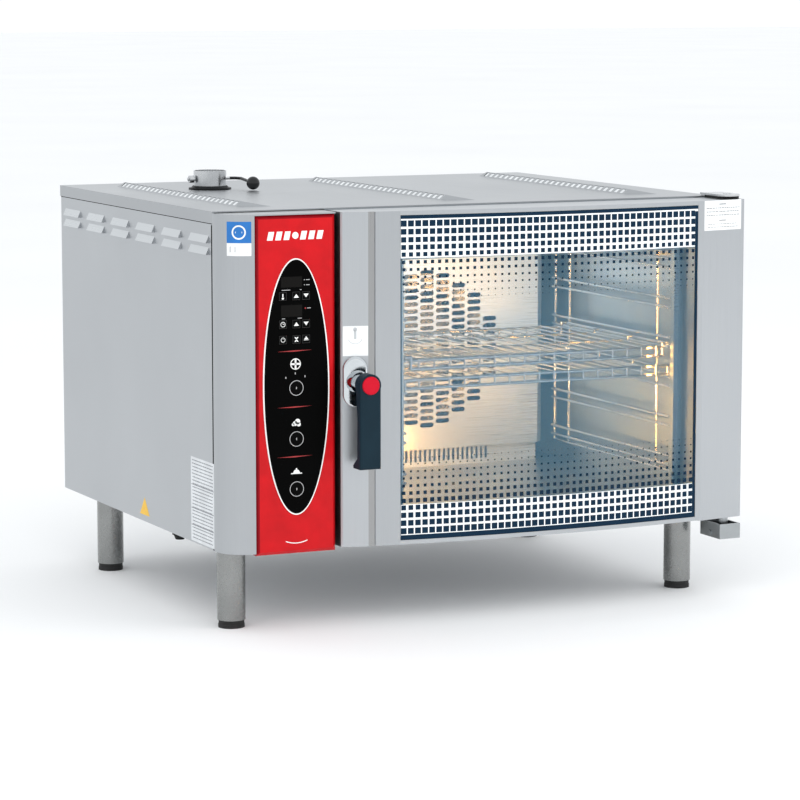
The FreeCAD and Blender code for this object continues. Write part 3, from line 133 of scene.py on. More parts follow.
def brushed(name, colour, rough, along, contrast=0.05, metal=1.0):
    """Brushed sheet: fine grain along one axis, with soft clouding as hands and cloths leave it."""
    look = Look(name, Metallic=metal)
    grain = look.noise(tuple(GRAIN_LONG if axis == along else GRAIN_FINE for axis in "xyz"), 5.0, 0.6)
    cloud = look.noise((3.0, 3.0, 3.0), 3.0, 0.5)
    dark, light = shade(colour, 1 - contrast), shade(colour, 1 + contrast)
    tone = look.blend(look.spread(grain, 0.0, 1.0), dark, light)
    fine, soft = look.spread(grain, rough - 0.05, rough + 0.05), look.spread(cloud, -0.02, 0.04)
    look.drive(Base_Color=look.blend(look.spread(cloud, 0.0, 0.5), tone, shade(colour, 0.96)),
               Roughness=look.add(fine, soft))
    look.bump(grain, 0.12, 0.00005)
    return look.material


def turned(name, colour, rough):
    """Bright tube, wire or machined steel: no direction, faint marks."""
    look = Look(name, Metallic=1.0)
    marks = look.noise((240.0, 240.0, 240.0), 4.0, 0.6)
    cloud = look.noise((22.0, 22.0, 22.0), 3.0, 0.5)
    fine, soft = look.spread(marks, rough - 0.04, rough + 0.05), look.spread(cloud, 0.0, 0.03)
    look.drive(Base_Color=look.blend(look.spread(cloud, 0.0, 1.0), shade(colour, 0.93), shade(colour, 1.05)),
               Roughness=look.add(fine, soft))
    look.bump(marks, 0.06, 0.00004)
    return look.material


def moulded(name, colour, rough, grain, strength, shine=0.5, metal=0.0):
    """Plastic, rubber or paint: fine moulded grain and slight unevenness of colour."""
    look = Look(name, Specular_IOR_Level=shine, Metallic=metal)
    fine = look.noise((grain, grain, grain), 3.0, 0.5)
    cloud = look.noise((30.0, 30.0, 30.0), 3.0, 0.5)
    look.drive(Base_Color=look.blend(look.spread(cloud, 0.0, 1.0), shade(colour, 0.9), shade(colour, 1.08)),
               Roughness=look.spread(fine, rough - 0.04, rough + 0.06))
    look.bump(fine, strength, 0.00005)
    return look.material


def pane(name, colour, opacity, rough=0.03):
    """A glass pane: mostly clear, with a faint tint and an even, slightly wavy surface."""
    look = Look(name, Alpha=opacity, IOR=1.52)
    wave = look.noise((6.0, 6.0, 6.0), 2.0, 0.5)
    look.drive(Base_Color=look.blend(look.spread(wave, 0.0, 1.0), shade(colour, 0.94), shade(colour, 1.05)),
               Roughness=look.spread(wave, rough, rough + 0.02))
    return look.material


# ---- looks -----------------------------------------------------------------------------------
STEEL = (0.490, 0.507, 0.525)
looks = {
    "side": brushed("steel_side", shade(STEEL, 0.95), 0.36, "y"),
    "upright": brushed("steel_upright", shade(STEEL, 0.895), 0.34, "z"),
    "top": brushed("steel_top_sheet", shade(STEEL, 0.84), 0.34, "y"),
    "door": brushed("steel_door_skin", shade(STEEL, 1.0), 0.33, "z"),
    "chamber": brushed("steel_chamber_wall", (0.42, 0.46, 0.49), 0.30, "x", 0.03, 0.9),
    "baffle": brushed("steel_baffle", (0.74, 0.78, 0.80), 0.30, "x", 0.02, 0.6),
    "bright": turned("steel_machined", (0.62, 0.63, 0.64), 0.24),
    "wire": turned("steel_wire_polished", (0.74, 0.76, 0.78), 0.16),
    "leg": turned("steel_leg", (0.29, 0.295, 0.29), 0.24),
    # Lighter steel for the louvres' upper slopes: painted highlight.
    "louvre_painted_highlight": brushed("steel_louvre_painted_highlight", (0.60, 0.62, 0.635), 0.30, "y", 0.03),
    # Steel far lighter than the top's, so the blades under the slots read bright: painted highlight.
    "blade_painted_highlight": turned("steel_vent_blade_painted_highlight", (0.90, 0.92, 0.93), 0.30),
    # Darker copies of the door steel for its groove and the strip beside it: painted shade.
    "groove_painted_shade": brushed("steel_door_groove_painted_shade", (0.36, 0.36, 0.36), 0.30, "z"),
    "door_inset_painted_shade": brushed("steel_door_inset_painted_shade", shade(STEEL, 0.92), 0.33, "z"),
    "bracket": turned("steel_bracket", (0.40, 0.42, 0.43), 0.30),
    "chrome": turned("chrome_plated", (0.60, 0.63, 0.65), 0.09),
    "red": moulded("red_powder", (0.56, 0.004, 0.008), 0.34, 420.0, 0.10, 0.20),
    # A darker copy of the red: painted shade for the column's bevels.
    "red_painted_bevel_shade": moulded("red_powder_painted_bevel_shade", (0.30, 0.004, 0.010), 0.34, 420.0, 0.10, 0.15),
    "overlay": moulded("overlay_black", (0.0012, 0.0012, 0.0012), 0.30, 600.0, 0.05, 0.025),
    "key": moulded("key_black", (0.0015, 0.0015, 0.0015), 0.32, 600.0, 0.05, 0.035),
    "display": moulded("display_dark", (0.008, 0.0075, 0.007), 0.16, 300.0, 0.02, 0.04),
    "board": moulded("board_green", (0.015, 0.14, 0.05), 0.42, 300.0, 0.2),
    "wool": moulded("wool_yellow", (0.66, 0.58, 0.36), 0.9, 160.0, 0.9),
    "casting": moulded("casting_grey", (0.07, 0.075, 0.08), 0.55, 300.0, 0.5, metal=0.6),
    "heater": turned("heater_dark", (0.20, 0.18, 0.16), 0.42),
    "lamp_metal": turned("lamp_aluminium", (0.70, 0.70, 0.70), 0.28),
    "silicone": moulded("silicone_grey", (0.030, 0.031, 0.033), 0.62, 260.0, 0.4),
    "black": moulded("plastic_black", (0.007, 0.008, 0.009), 0.42, 500.0, 0.3, 0.2),
    # Near-black for painted shade: the gap beside the control column and the thin shadow lines on the sides.
    "painted_shade": moulded("painted_shade_black", (0.004, 0.004, 0.004), 0.7, 300.0, 0.3, 0.1),
    "rubber": moulded("rubber_black", (0.012, 0.012, 0.012), 0.68, 300.0, 0.5),
    "handle": moulded("handle_black", (0.009, 0.024, 0.036), 0.46, 1100.0, 0.35, 0.10),
    "cap": moulded("cap_red", (0.56, 0.004, 0.020), 0.30, 500.0, 0.05, 0.15),
    "knob": moulded("knob_black", (0.004, 0.005, 0.006), 0.10, 200.0, 0.03, 0.45),
    "brass": turned("brass_machined", (0.60, 0.42, 0.17), 0.26),
    "glass_outer": pane("glass_front", (0.20, 0.50, 0.72), 0.07),
    "glass_inner": pane("glass_inside", (0.10, 0.30, 0.46), 0.08, 0.05),
    "print": moulded("print_navy", (0.004, 0.022, 0.048), 0.30, 300.0, 0.05, 0.10),
    "band": moulded("band_white", (0.95, 0.96, 0.97), 0.50, 300.0, 0.05),
    "ink_white": moulded("ink_white", (0.88, 0.88, 0.86), 0.5, 300.0, 0.05),
    "ink_grey": moulded("ink_grey", (0.50, 0.50, 0.50), 0.5, 300.0, 0.05),
    "ink_frame": moulded("ink_frame", (0.045, 0.045, 0.045), 0.5, 300.0, 0.05, 0.1),
    "ink_red": moulded("ink_red", (0.35, 0.020, 0.022), 0.4, 300.0, 0.05),
    "ink_blue": moulded("ink_blue", (0.010, 0.16, 0.50), 0.36, 300.0, 0.05),
    "paper": moulded("label_white", (0.86, 0.87, 0.87), 0.42, 200.0, 0.1),
    "paper_line": moulded("label_line", (0.20, 0.21, 0.23), 0.5, 300.0, 0.05),
    "paper_faint": moulded("label_faint_line", (0.52, 0.54, 0.56), 0.5, 300.0, 0.05),
    "plate": moulded("label_plate", (0.68, 0.70, 0.72), 0.42, 200.0, 0.1),
    "yellow": moulded("label_yellow", (0.86, 0.50, 0.015), 0.4, 300.0, 0.05),
}

lens = Look("lamp_lens_lit", Roughness=0.35, Emission_Color=(1.0, 0.62, 0.22, 1.0), Emission_Strength=40.0)
lens_cloud = lens.spread(lens.noise((90.0, 90.0, 90.0), 3.0, 0.5), 0.0, 1.0)
lens.drive(Base_Color=lens.blend(lens_cloud, (0.95, 0.80, 0.52), (0.99, 0.88, 0.66)))
looks["lens"] = lens.material

NODE_LOOKS = {
    "base_pan": "side", "back_panel": "upright", "side_panel_left": "side", "side_panel_right": "side",
    "top_cover": "top", "corner_post": "upright", "control_panel": "red", "control_overlay": "overlay",
    "control_board": "board", "chamber_liner": "chamber", "insulation": "wool", "fan_baffle": "baffle",
    "fan_wheel": "bright", "fan_motor": "casting", "heating_element": "heater", "steam_injector": "wire",
    "chamber_drain": "bright", "tray_racks": "wire", "shelf_upper": "wire", "shelf_lower": "wire",
    "lamps": "lamp_metal", "lamp_lenses": "lens", "door_gasket": "silicone", "latch_keeper": "bright",
    "hinge_plate_top": "bright", "hinge_bracket_bottom": "bracket", "hinge_washers": "black",
    "door_shell": "door", "door_glass_outer": "glass_outer", "glass_seal": "rubber",
    "door_inner_panel": "chamber", "door_glass_inner": "glass_inner", "handle_rosette": "chrome",
    "latch_spindle": "bright", "handle_lever": "handle", "handle_cap": "cap", "flue_pipe": "bright",
    "flue_flange": "black", "damper_plate": "bright", "damper_lever": "knob", "leg_tubes": "leg",
    "cable_gland": "black", "water_inlet": "brass", "panel_screws": "bright",
}
for name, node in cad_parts.items():
    others = "key" if "key" in name else "rubber"      # the keys, and the levelling feet
    node.data.materials.clear()
    node.data.materials.append(looks[NODE_LOOKS.get(name, others)])


def repaint(name, look, wanted):
    """Gives another look to the faces that wanted(face, middle) picks; middle is in millimetres."""
    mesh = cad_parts[name].data
    mesh.materials.append(looks[look])
    for face in mesh.polygons:
        if wanted(face, 1000 * (face.center - ORIGIN)):
            face.material_index = len(mesh.materials) - 1


def repaint_edge(name, look, direction, least, reach):
    """Picks the faces that lean along direction and lie within reach, in metres, of that end."""
    limit = max(v.co.dot(direction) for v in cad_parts[name].data.vertices) - reach
    repaint(name, look, lambda face, middle: (face.normal.dot(direction) > least
                                              and face.center.dot(direction) > limit))


# The left and top bevels of the red column get the darker red: painted shade on the bevels.
repaint_edge("control_panel", "red_painted_bevel_shade", Vector((-1.0, 0.0, 0.0)), 0.3, 0.006)
repaint_edge("control_panel", "red_painted_bevel_shade", Vector((0.0, 0.0, 1.0)), 0.3, 0.006)
# The column's right side, in the gap by the door, gets near-black: painted shade.
repaint_edge("control_panel", "painted_shade", Vector((1.0, 0.0, 0.0)), 0.9, 0.004)

SIDE_X = 502.5                                # outer face of the side panels
LOUVRES_LOW = 600.0


def louvre_highlight_faces(face, middle):
    """The upper slopes of the louvres, which stand out from the side panels, and which get lighter steel:
    painted highlight.
    """
    return abs(middle.x) > SIDE_X + 0.3 and middle.z > LOUVRES_LOW and face.normal.z > 0.02


for name in ("side_panel_left", "side_panel_right"):
    repaint(name, "louvre_painted_highlight", louvre_highlight_faces)

GROOVE_LEFT, GROOVE_RIGHT, INSET_RIGHT = -242.0, -228.0, -183.0
DOOR_FACE_Y = -440.0                          # the door's front skin lies before this


def on_door_front(left, right):
    return lambda face, middle: left < middle.x < right and middle.y < DOOR_FACE_Y and face.normal.y < -0.5


# The stile's groove and the strip right of it get the darker steel: painted shade.
repaint("door_shell", "groove_painted_shade", on_door_front(GROOVE_LEFT, GROOVE_RIGHT))
repaint("door_shell", "door_inset_painted_shade", on_door_front(GROOVE_RIGHT, INSET_RIGHT))


# ---- drawing tools ---------------------------------------------------------------------------
def rect(x, z, width, height, parts=1):
    """A rectangle about (x, z), cut into equal strips across its width."""
    edges = [x - width / 2 + i * (width / parts) for i in range(parts + 1)]
    low, high = z - height / 2, z + height / 2
    return [[(a, low), (b, low), (b, high), (a, high)] for a, b in zip(edges, edges[1:])]


def disc(x, z, radius, sides=32):
    turn = 2 * math.pi / sides
    return [[(x + radius * math.cos(i * turn), z + radius * math.sin(i * turn)) for i in range(sides)]]


def arc(x, z, outer, inner, start=0.0, end=360.0, sides=40):
    """A ring, or part of one, as a run of quads. Angles are in degrees from the right."""
    quads = []
    for i in range(sides):
        a, b = (math.radians(start + (end - start) * k / sides) for k in (i, i + 1))
        quads.append([(x + r * math.cos(t), z + r * math.sin(t))
                      for r, t in ((inner, a), (outer, a), (outer, b), (inner, b))])
    return quads


def square_frame(x, z, size, line):
    """The outline of a square, line wide."""
    reach, inner = (size - line) / 2, size - 2 * line
    return (rect(x, z + reach, size, line) + rect(x, z - reach, size, line)
            + rect(x - reach, z, line, inner) + rect(x + reach, z, line, inner))


def arrow(x, z, width, height):
    """A triangle that points up, or down for a negative height."""
    points = [(x - width / 2, z - height / 2), (x + width / 2, z - height / 2), (x, z + height / 2)]
    return [points if height > 0 else points[::-1]]


def plane_map(origin, across, up):
    """Lays flat art on a plane. across runs to the viewer's right, and the plane faces across x up."""
    u, v = Vector(across).normalized(), Vector(up).normalized()
    out = u.cross(v)
    return lambda a, b, h: at(*(Vector(origin) + u * a + v * b + out * h))


def art(name, outlines, place, look, body, low=0.0, high=0.15):
    """Thin raised shapes: each outline becomes a face at height high with sides down to low."""
    points, faces = [], []
    for outline in outlines:
        first, count = len(points), len(outline)
        points += [place(a, b, high) for a, b in outline] + [place(a, b, low) for a, b in outline]
        faces.append(tuple(range(first, first + count)))
        for i in range(count):
            j = (i + 1) % count
            faces.append((first + i, first + count + i, first + count + j, first + j))
    mesh = bpy.data.meshes.new(name)
    mesh.from_pydata(points, [], faces)
    mesh.materials.append(looks[look])
    made = bpy.data.objects.new(name, mesh)
    bpy.context.scene.collection.objects.link(made)
    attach(made, body)


def text_lines(rng, left, right, top, rows, pitch, thick):
    """Rows of short dashes, as print looks from a distance, with nothing to read."""
    dashes = []
    for row in range(rows):
        x = left + rng.uniform(0.0, 3.0)
        while x < right - 3.0:
            width = min(rng.uniform(2.0, 7.0), right - x)
            dashes += rect(x + width / 2, top - row * pitch, width, thick)
            x += width + rng.uniform(1.0, 1.8)
    return dashes


# ---- control column --------------------------------------------------------------------------
RIGHTWARD, UPWARD = (1, 0, 0), (0, 0, 1)
OVERLAY_X, OVERLAY_Z = -372.0, 438.0          # middle of the oval film
FILM_Y = -432.5
KEY_Y = FILM_Y - 0.2
film = plane_map((0, FILM_Y, 0), RIGHTWARD, UPWARD)
keys = plane_map((0, KEY_Y, 0), RIGHTWARD, UPWARD)
paint = plane_map((0, COLUMN_CORNER.y, 0), RIGHTWARD, UPWARD)

FILM_HALF_WIDTH, FILM_HALF_HEIGHT, RIM_WIDTH = 60.9, 224.4, 2.3
RIM_STEPS = 120


def oval(grow):
    """Points round the film's oval, with the first one again at the end."""
    turns = [2 * math.pi * k / RIM_STEPS for k in range(RIM_STEPS + 1)]
    return [(OVERLAY_X + (FILM_HALF_WIDTH + grow) * math.cos(t),
             OVERLAY_Z + (FILM_HALF_HEIGHT + grow) * math.sin(t)) for t in turns]


inner_rim, outer_rim = oval(0.0), oval(RIM_WIDTH)
rim = [[a, b, c, d] for a, b, c, d in zip(inner_rim, outer_rim, outer_rim[1:], inner_rim[1:])]
art("overlay_rim", rim, film, "ink_white", "cabinet", -1.4, 0.12)

DISPLAY_X, DISPLAY_WIDTH = -380.3, 40.0
displays = rect(DISPLAY_X, 623.4, DISPLAY_WIDTH, 18.4) + rect(DISPLAY_X, 572.7, DISPLAY_WIDTH, 20.6)
art("displays", displays, film, "display", "cabinet", -0.35, -0.1)

RULE_LEFT, RULE_MIDDLE, RULE_RIGHT = -409.0, -376.0, -342.0
rules = [[(RULE_LEFT, z - 0.2), (RULE_MIDDLE, z - 1.1), (RULE_RIGHT, z + 0.9), (RULE_MIDDLE, z + 1.2)]
         for z in (502.0, 403.0, 315.0)]
art("rule_lines", rules, film, "ink_red", "cabinet")

small_print = []
for z in (626.5, 617.5):
    small_print += rect(-349.5, z, 7.0, 1.1) + rect(-356.0, z, 1.4, 1.4)
small_print += rect(-347.5, 576.7, 7.0, 1.1)
small_print += rect(-391.0, 609.4, 16.0, 1.0) + rect(-363.0, 609.4, 3.0, 1.0)
small_print += rect(-396.0, 559.4, 6.0, 1.0) + rect(-365.0, 559.4, 8.0, 1.0)
for x, z in ((-374.0, 462.5), (-392.0, 455.5), (-355.5, 456.5)):
    small_print += rect(x, z, 1.6, 3.4)
art("small_print", small_print, film, "ink_grey", "cabinet")
art("alarm_dot", disc(-354.5, 576.7, 1.3, 16), film, "ink_red", "cabinet", 0.0, 0.25)

fan_sign = arc(-373.4, 479.0, 10.0, 8.4) + rect(-373.4, 479.0, 3.4, 16.4) + rect(-373.4, 479.0, 16.4, 3.4)
steam_sign = disc(-374.5, 374.0, 4.4) + disc(-370.0, 377.0, 5.0)
steam_sign += disc(-367.5, 372.0, 3.6) + disc(-378.5, 372.0, 2.6)
cover_sign = arc(-372.4, 286.0, 6.2, 0.05, 0.0, 180.0, 24)
cover_sign += rect(-372.4, 285.2, 21.0, 1.7) + disc(-372.4, 293.0, 1.5, 16)
art("signs", fan_sign + steam_sign + cover_sign, film, "ink_white", "cabinet")

KEY_COLUMNS = (-397.0, -371.5, -353.0)
KEY_ROWS = (598.8, 549.4, 522.2)
RING_ROWS = (436.6, 346.3, 257.4)
KEY_SIZE, KEY_LINE, RING_OUTER, RING_INNER = 14.0, 0.5, 13.4, 12.4
KEY_INK = 0.1                                 # thickness of the print on a key


def key_sign(row, column, x, z):
    """The white sign on one square key."""
    if row < 3 and column > 1:
        return arrow(x, z, 9.7, 6.6 if column == 2 else -6.6)
    if (row, column) == (1, 1):
        return rect(x, z + 0.8, 1.8, 7.0) + disc(x, z - 3.6, 2.1, 16)
    if (row, column) == (2, 1):
        return arc(x, z, 4.6, 3.7) + rect(x, z + 1.4, 0.8, 2.8) + rect(x + 1.3, z, 2.6, 0.8)
    if (row, column) == (3, 1):
        return arc(x, z, 4.2, 3.3, 115.0, 425.0) + rect(x, z + 3.2, 0.9, 4.0)
    if (row, column) == (3, 2):
        return [[(x + s * 1.0, z + 4.0), (x + s * 4.0, z + 4.0), (x + s * 0.6, z), (x + s * 4.0, z - 4.0),
                 (x + s * 1.0, z - 4.0), (x - s * 0.6, z)] for s in (-1, 1)]
    return arc(x, z - 0.5, 3.4, 0.05, 0.0, 180.0, 20) + rect(x, z - 1.6, 9.0, 0.9) + disc(x, z + 3.8, 0.9, 12)


def print_on_key(name, outlines, look, node):
    """Print that is pressed down with its key."""
    art(name, outlines, keys, look, f"{node}_body", 0.0, KEY_INK)


for row, z in enumerate(KEY_ROWS, 1):
    for column, x in enumerate(KEY_COLUMNS, 1):
        node = f"key_{row}_{column}"
        print_on_key(f"{node}_edge", square_frame(x, z, KEY_SIZE, KEY_LINE), "ink_frame", node)
        print_on_key(f"{node}_sign", key_sign(row, column, x, z), "ink_white", node)
for row, z in enumerate(RING_ROWS, 1):
    node = f"ring_key_{row}"
    pip = [(OVERLAY_X - 1.0, z), (OVERLAY_X, z - 2.6), (OVERLAY_X + 1.0, z), (OVERLAY_X, z + 2.6)]
    print_on_key(f"{node}_ring", arc(OVERLAY_X, z, RING_OUTER, RING_INNER) + [pip], "ink_grey", node)

EMBLEM_LOW, EMBLEM_HIGH = 697.0, 712.0
EMBLEM_LEFT, EMBLEM_STEP, EMBLEM_DOT = -419.0, 15.6, 3
emblem = [[(x - 7.0, EMBLEM_LOW), (x + 3.6, EMBLEM_LOW), (x + 7.0, EMBLEM_HIGH), (x - 3.6, EMBLEM_HIGH)]
          for x in [EMBLEM_LEFT + EMBLEM_STEP * i for i in range(7) if i != EMBLEM_DOT]]
emblem += disc(EMBLEM_LEFT + EMBLEM_STEP * EMBLEM_DOT, (EMBLEM_LOW + EMBLEM_HIGH) / 2, 6.0)
art("column_emblem", emblem, paint, "ink_white", "cabinet")
swoosh = arc(OVERLAY_X, 216.0, 56.0, 54.4, 248.0, 292.0, 20)
art("column_swoosh", swoosh, paint, "ink_white", "cabinet")


# ---- glass print -----------------------------------------------------------------------------
pane_low, pane_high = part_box("door_glass_outer")
GLASS_GAP, GLASS_EDGE_Y, GLASS_BOW = 0.6, -458.0, 19.0
GLASS_LEFT = 1000 * (pane_low.x - ORIGIN.x) - GLASS_GAP
GLASS_RIGHT = 1000 * (pane_high.x - ORIGIN.x) + GLASS_GAP
GLASS_LOW, GLASS_HIGH = 155.5, 735.5
GLASS_X = (GLASS_LEFT + GLASS_RIGHT) / 2
HALF_SPAN = (GLASS_RIGHT - GLASS_LEFT) / 2
BOW_RADIUS = (HALF_SPAN ** 2 + GLASS_BOW ** 2) / (2 * GLASS_BOW)


def bow_y(x):
    """Depth of the door's front curve at x."""
    return GLASS_EDGE_Y - GLASS_BOW + BOW_RADIUS - math.sqrt(BOW_RADIUS ** 2 - (x - GLASS_X) ** 2)


PRINT_SINK = 0.06                             # how far behind the curve the print starts


def on_glass(a, b, h):
    """Lays flat art on the bowed pane."""
    return at(a, bow_y(a) + PRINT_SINK - h, b)


PRINT_COLUMNS, PRINT_PITCH, PRINT_START = 46, 13.35, 6.0
# The middle of each row of squares and their size; the lower half of the glass mirrors the upper.
PRINT_ROWS = ((720.7, 11.0), (706.2, 10.2), (692.0, 9.6), (678.6, 8.9), (665.9, 7.8), (652.4, 6.3),
              (639.3, 5.2), (625.8, 4.1), (613.5, 3.4), (600.3, 2.6), (589.2, 1.7))
MIRROR_SUM = GLASS_LOW + GLASS_HIGH + 1.5
BORDER_TOP, BORDER_BOTTOM, BORDER_RIGHT = 6.0, 8.6, 6.4
TOP_BAND_LOW, BOTTOM_BAND_HIGH = 659.5, 219.5
STRIPS = 44                                   # pieces across the glass, so that flat art follows the bow
BORDER_STEP, BORDER_STEPS = 10.0, 56
EDGE_GAP, SIDE_GAP, COLUMN_GAP = 0.6, 0.7, 0.8     # clear glass past the ends, sides and squares
PRINT_LOW, PRINT_HIGH = GLASS_LOW + EDGE_GAP, GLASS_HIGH - EDGE_GAP
PRINT_WIDTH = GLASS_RIGHT - GLASS_LEFT - 2 * SIDE_GAP
COLUMNS_LEFT, COLUMNS_RIGHT = GLASS_LEFT + COLUMN_GAP, GLASS_RIGHT - COLUMN_GAP - BORDER_RIGHT

print_faces = rect(GLASS_X, PRINT_HIGH - BORDER_TOP / 2, PRINT_WIDTH, BORDER_TOP, STRIPS)
print_faces += rect(GLASS_X, PRINT_LOW + BORDER_BOTTOM / 2, PRINT_WIDTH, BORDER_BOTTOM, STRIPS)
border_x = GLASS_X + PRINT_WIDTH / 2 - BORDER_RIGHT / 2
for step in range(BORDER_STEPS):
    z = PRINT_LOW + BORDER_BOTTOM + (step + 0.5) * BORDER_STEP
    print_faces += rect(border_x, z, BORDER_RIGHT, BORDER_STEP)
for height, size in PRINT_ROWS:
    for z in (height, MIRROR_SUM - height):
        for column in range(PRINT_COLUMNS):
            x = GLASS_LEFT + PRINT_START + PRINT_PITCH * column
            left, right = max(x - size / 2, COLUMNS_LEFT), min(x + size / 2, COLUMNS_RIGHT)
            if right > left:
                print_faces += rect((left + right) / 2, z, right - left, size)
art("glass_print", print_faces, on_glass, "print", "door", 0.04, 0.09)

bands = []
for low, high in ((TOP_BAND_LOW, PRINT_HIGH), (PRINT_LOW, BOTTOM_BAND_HIGH)):
    bands += rect(GLASS_X, (low + high) / 2, PRINT_WIDTH, high - low, STRIPS)
art("glass_bands", bands, on_glass, "band", "door", 0.0, 0.03)


# ---- vent blades and painted shadow lines ----------------------------------------------------
RIDGES = (-418.0, -12.5, 370.0)               # where each ridge of the top starts to rise
RIDGE_FOOT, RIDGE_SLOPE, RIDGE_HALF = 745.2, 0.75, 6.0
BLADE_LEFT, BLADE_RIGHT = 2.0, 10.6
BLADE_FRONT, BLADE_PITCH, BLADE_LENGTH, BLADE_COUNT = -262.0, 24.4, 24.0, 24


def on_ridge(a, b, h):
    """Lies along the slope of the nearest ridge, just under its sheet."""
    start = min(RIDGES, key=lambda x: abs(x + RIDGE_HALF - a))
    return at(a, b, RIDGE_FOOT + RIDGE_SLOPE * (a - start) + h)


blades = []
for ridge in RIDGES:
    for y in [BLADE_FRONT + BLADE_PITCH * k for k in range(BLADE_COUNT)]:
        left, right, back = ridge + BLADE_LEFT, ridge + BLADE_RIGHT, y + BLADE_LENGTH
        blades.append([(left, y), (right, y), (right, back), (left, back)])
# The blades are parts of their own; their light colour is painted highlight.
art("vent_blades", blades, on_ridge, "blade_painted_highlight", "cabinet", -0.3, 0.0)

side = plane_map((-SIDE_X, 0, 0), (0, -1, 0), UPWARD)
right_side = plane_map((SIDE_X, 0, 0), (0, 1, 0), UPWARD)
# Dark lines under the top's skirt and beside the corner post: painted shadow.
SKIRT_Y, SKIRT_Z, SKIRT_LENGTH, SKIRT_LINE = 30.0, 724.2, 802.0, 1.5
POST_SHADOW_Y, POST_SHADOW_Z, POST_SHADOW_HEIGHT, POST_SHADOW_LINE = -364.6, 434.0, 576.0, 4.5
for name, place, sense in (("shadow_lines_left", side, -1), ("shadow_lines_right", right_side, 1)):
    shadow_lines = rect(sense * SKIRT_Y, SKIRT_Z, SKIRT_LENGTH, SKIRT_LINE)
    shadow_lines += rect(sense * POST_SHADOW_Y, POST_SHADOW_Z, POST_SHADOW_LINE, POST_SHADOW_HEIGHT)
    art(name, shadow_lines, place, "painted_shade", "cabinet", 0.0, 0.2)


# ---- labels ----------------------------------------------------------------------------------
POST_X, POST_Y, POST_RADIUS = -449.0, -376.0, 55.0
INK_LOW, INK_HIGH = 0.1, 0.22


def on_post(a, b, h):
    """Wraps flat art round the corner post; a is the distance along the curve from its front edge."""
    angle = a / POST_RADIUS
    reach = POST_RADIUS + h
    return at(POST_X - reach * math.sin(angle), POST_Y - reach * math.cos(angle), b)


def post_label(name, outlines, look, low=0.0, high=0.15):
    """Art drawn as the viewer sees it, which is against the post's own distance."""
    turned_round = [[(-a, b) for a, b in outline][::-1] for outline in outlines]
    art(name, turned_round, on_post, look, "cabinet", low, high)


LABEL_A, BLUE_Z, WHITE_Z, MARKS_A = -28.0, 712.5, 682.5, -18.0
post_label("post_label_blue", rect(LABEL_A, BLUE_Z, 44.0, 37.0, 14), "ink_blue")
post_label("post_label_white", rect(LABEL_A, WHITE_Z, 44.0, 22.0, 14), "paper")
post_signs = arc(LABEL_A, BLUE_Z, 12.5, 9.8) + rect(LABEL_A, BLUE_Z, 12.0, 2.6)
post_label("post_label_sign", post_signs, "ink_white", INK_LOW, INK_HIGH)
post_marks = rect(-39.0, 683.0, 10.0, 10.0)
for a, z, width in ((MARKS_A, 686.0, 19.0), (MARKS_A, 682.0, 19.0), (MARKS_A - 2.0, 678.0, 15.0)):
    post_marks += rect(a, z, width, 1.3)
post_label("post_label_marks", post_marks, "paper_line", INK_LOW, INK_HIGH)

rng = random.Random(11)
PLATE_A, PLATE_Z, PLATE_WIDTH, PLATE_HEIGHT = 312.0, 225.0, 111.0, 152.0
plate = rect(PLATE_A, PLATE_Z, PLATE_WIDTH, PLATE_HEIGHT)
art("data_plate", plate, side, "plate", "cabinet", 0.0, 0.25)
plate_lines = text_lines(rng, PLATE_A - 50.0, PLATE_A + 50.0, 295.5, 24, 6.1, 1.9)
for z in (251.0, 208.5, 178.0):
    plate_lines += rect(PLATE_A, z, PLATE_WIDTH - 3.0, 1.2)
art("data_plate_print", plate_lines, side, "paper_line", "cabinet", 0.2, 0.32)
triangle = [(-6.0, 158.0), (44.0, 158.0), (19.0, 191.0)]
art("side_mark", [triangle], side, "yellow", "cabinet", 0.0, 0.2)

DOOR_INK_LOW, DOOR_INK_HIGH = 0.15, 0.26
stile = plane_map((-241.5, -450.6, 0), (44.1, -13.0, 0), UPWARD)
art("stile_label", rect(-23.0, 515.5, 45.0, 53.0), stile, "paper", "door", 0.0, 0.2)
SIGN_A = -23.5
turn_sign = arc(SIGN_A, 524.0, 14.0, 13.0, 205.0, 335.0, 20) + rect(SIGN_A, 527.0, 4.0, 16.0)
turn_sign += disc(SIGN_A, 536.0, 3.6, 20)
art("stile_label_sign", turn_sign, stile, "paper_faint", "door", DOOR_INK_LOW, DOOR_INK_HIGH)

right_stile = plane_map((431.0, -462.05, 0), (93.0, 16.0, 0), UPWARD)
art("right_label", rect(45.8, 715.5, 88.0, 55.0), right_stile, "paper", "door", 0.0, 0.2)
right_lines = rect(45.0, 736.0, 16.0, 1.8) + text_lines(rng, 6.0, 86.0, 729.0, 3, 6.6, 1.4)
right_lines += rect(45.0, 706.0, 16.0, 1.6) + text_lines(rng, 10.0, 82.0, 699.5, 2, 5.6, 1.0)
art("right_label_print", right_lines, right_stile, "paper_line", "door",
    DOOR_INK_LOW, DOOR_INK_HIGH)


# ---- floor, light and camera -----------------------------------------------------------------
def studio_floor():
    look = Look("floor_pale", Roughness=0.8)
    cloud = look.spread(look.noise((0.6, 0.6, 0.6), 3.0, 0.5), 0.0, 1.0)
    look.drive(Base_Color=look.blend(cloud, (0.93, 0.93, 0.93), (0.96, 0.96, 0.96)))
    reach = 60.0
    mesh = bpy.data.meshes.new("floor")
    corners = [(-reach, -reach, 0), (reach, -reach, 0), (reach, reach, 0), (-reach, reach, 0)]
    mesh.from_pydata(corners, [], [(0, 1, 2, 3)])
    mesh.materials.append(look.material)
    floor = bpy.data.objects.new("floor", mesh)
    bpy.context.scene.collection.objects.link(floor)


WHITE, LAMP, WARM, BLUISH = (1.0, 1.0, 1.0), (1.0, 0.62, 0.28), (1.0, 0.48, 0.10), (0.50, 0.80, 1.0)


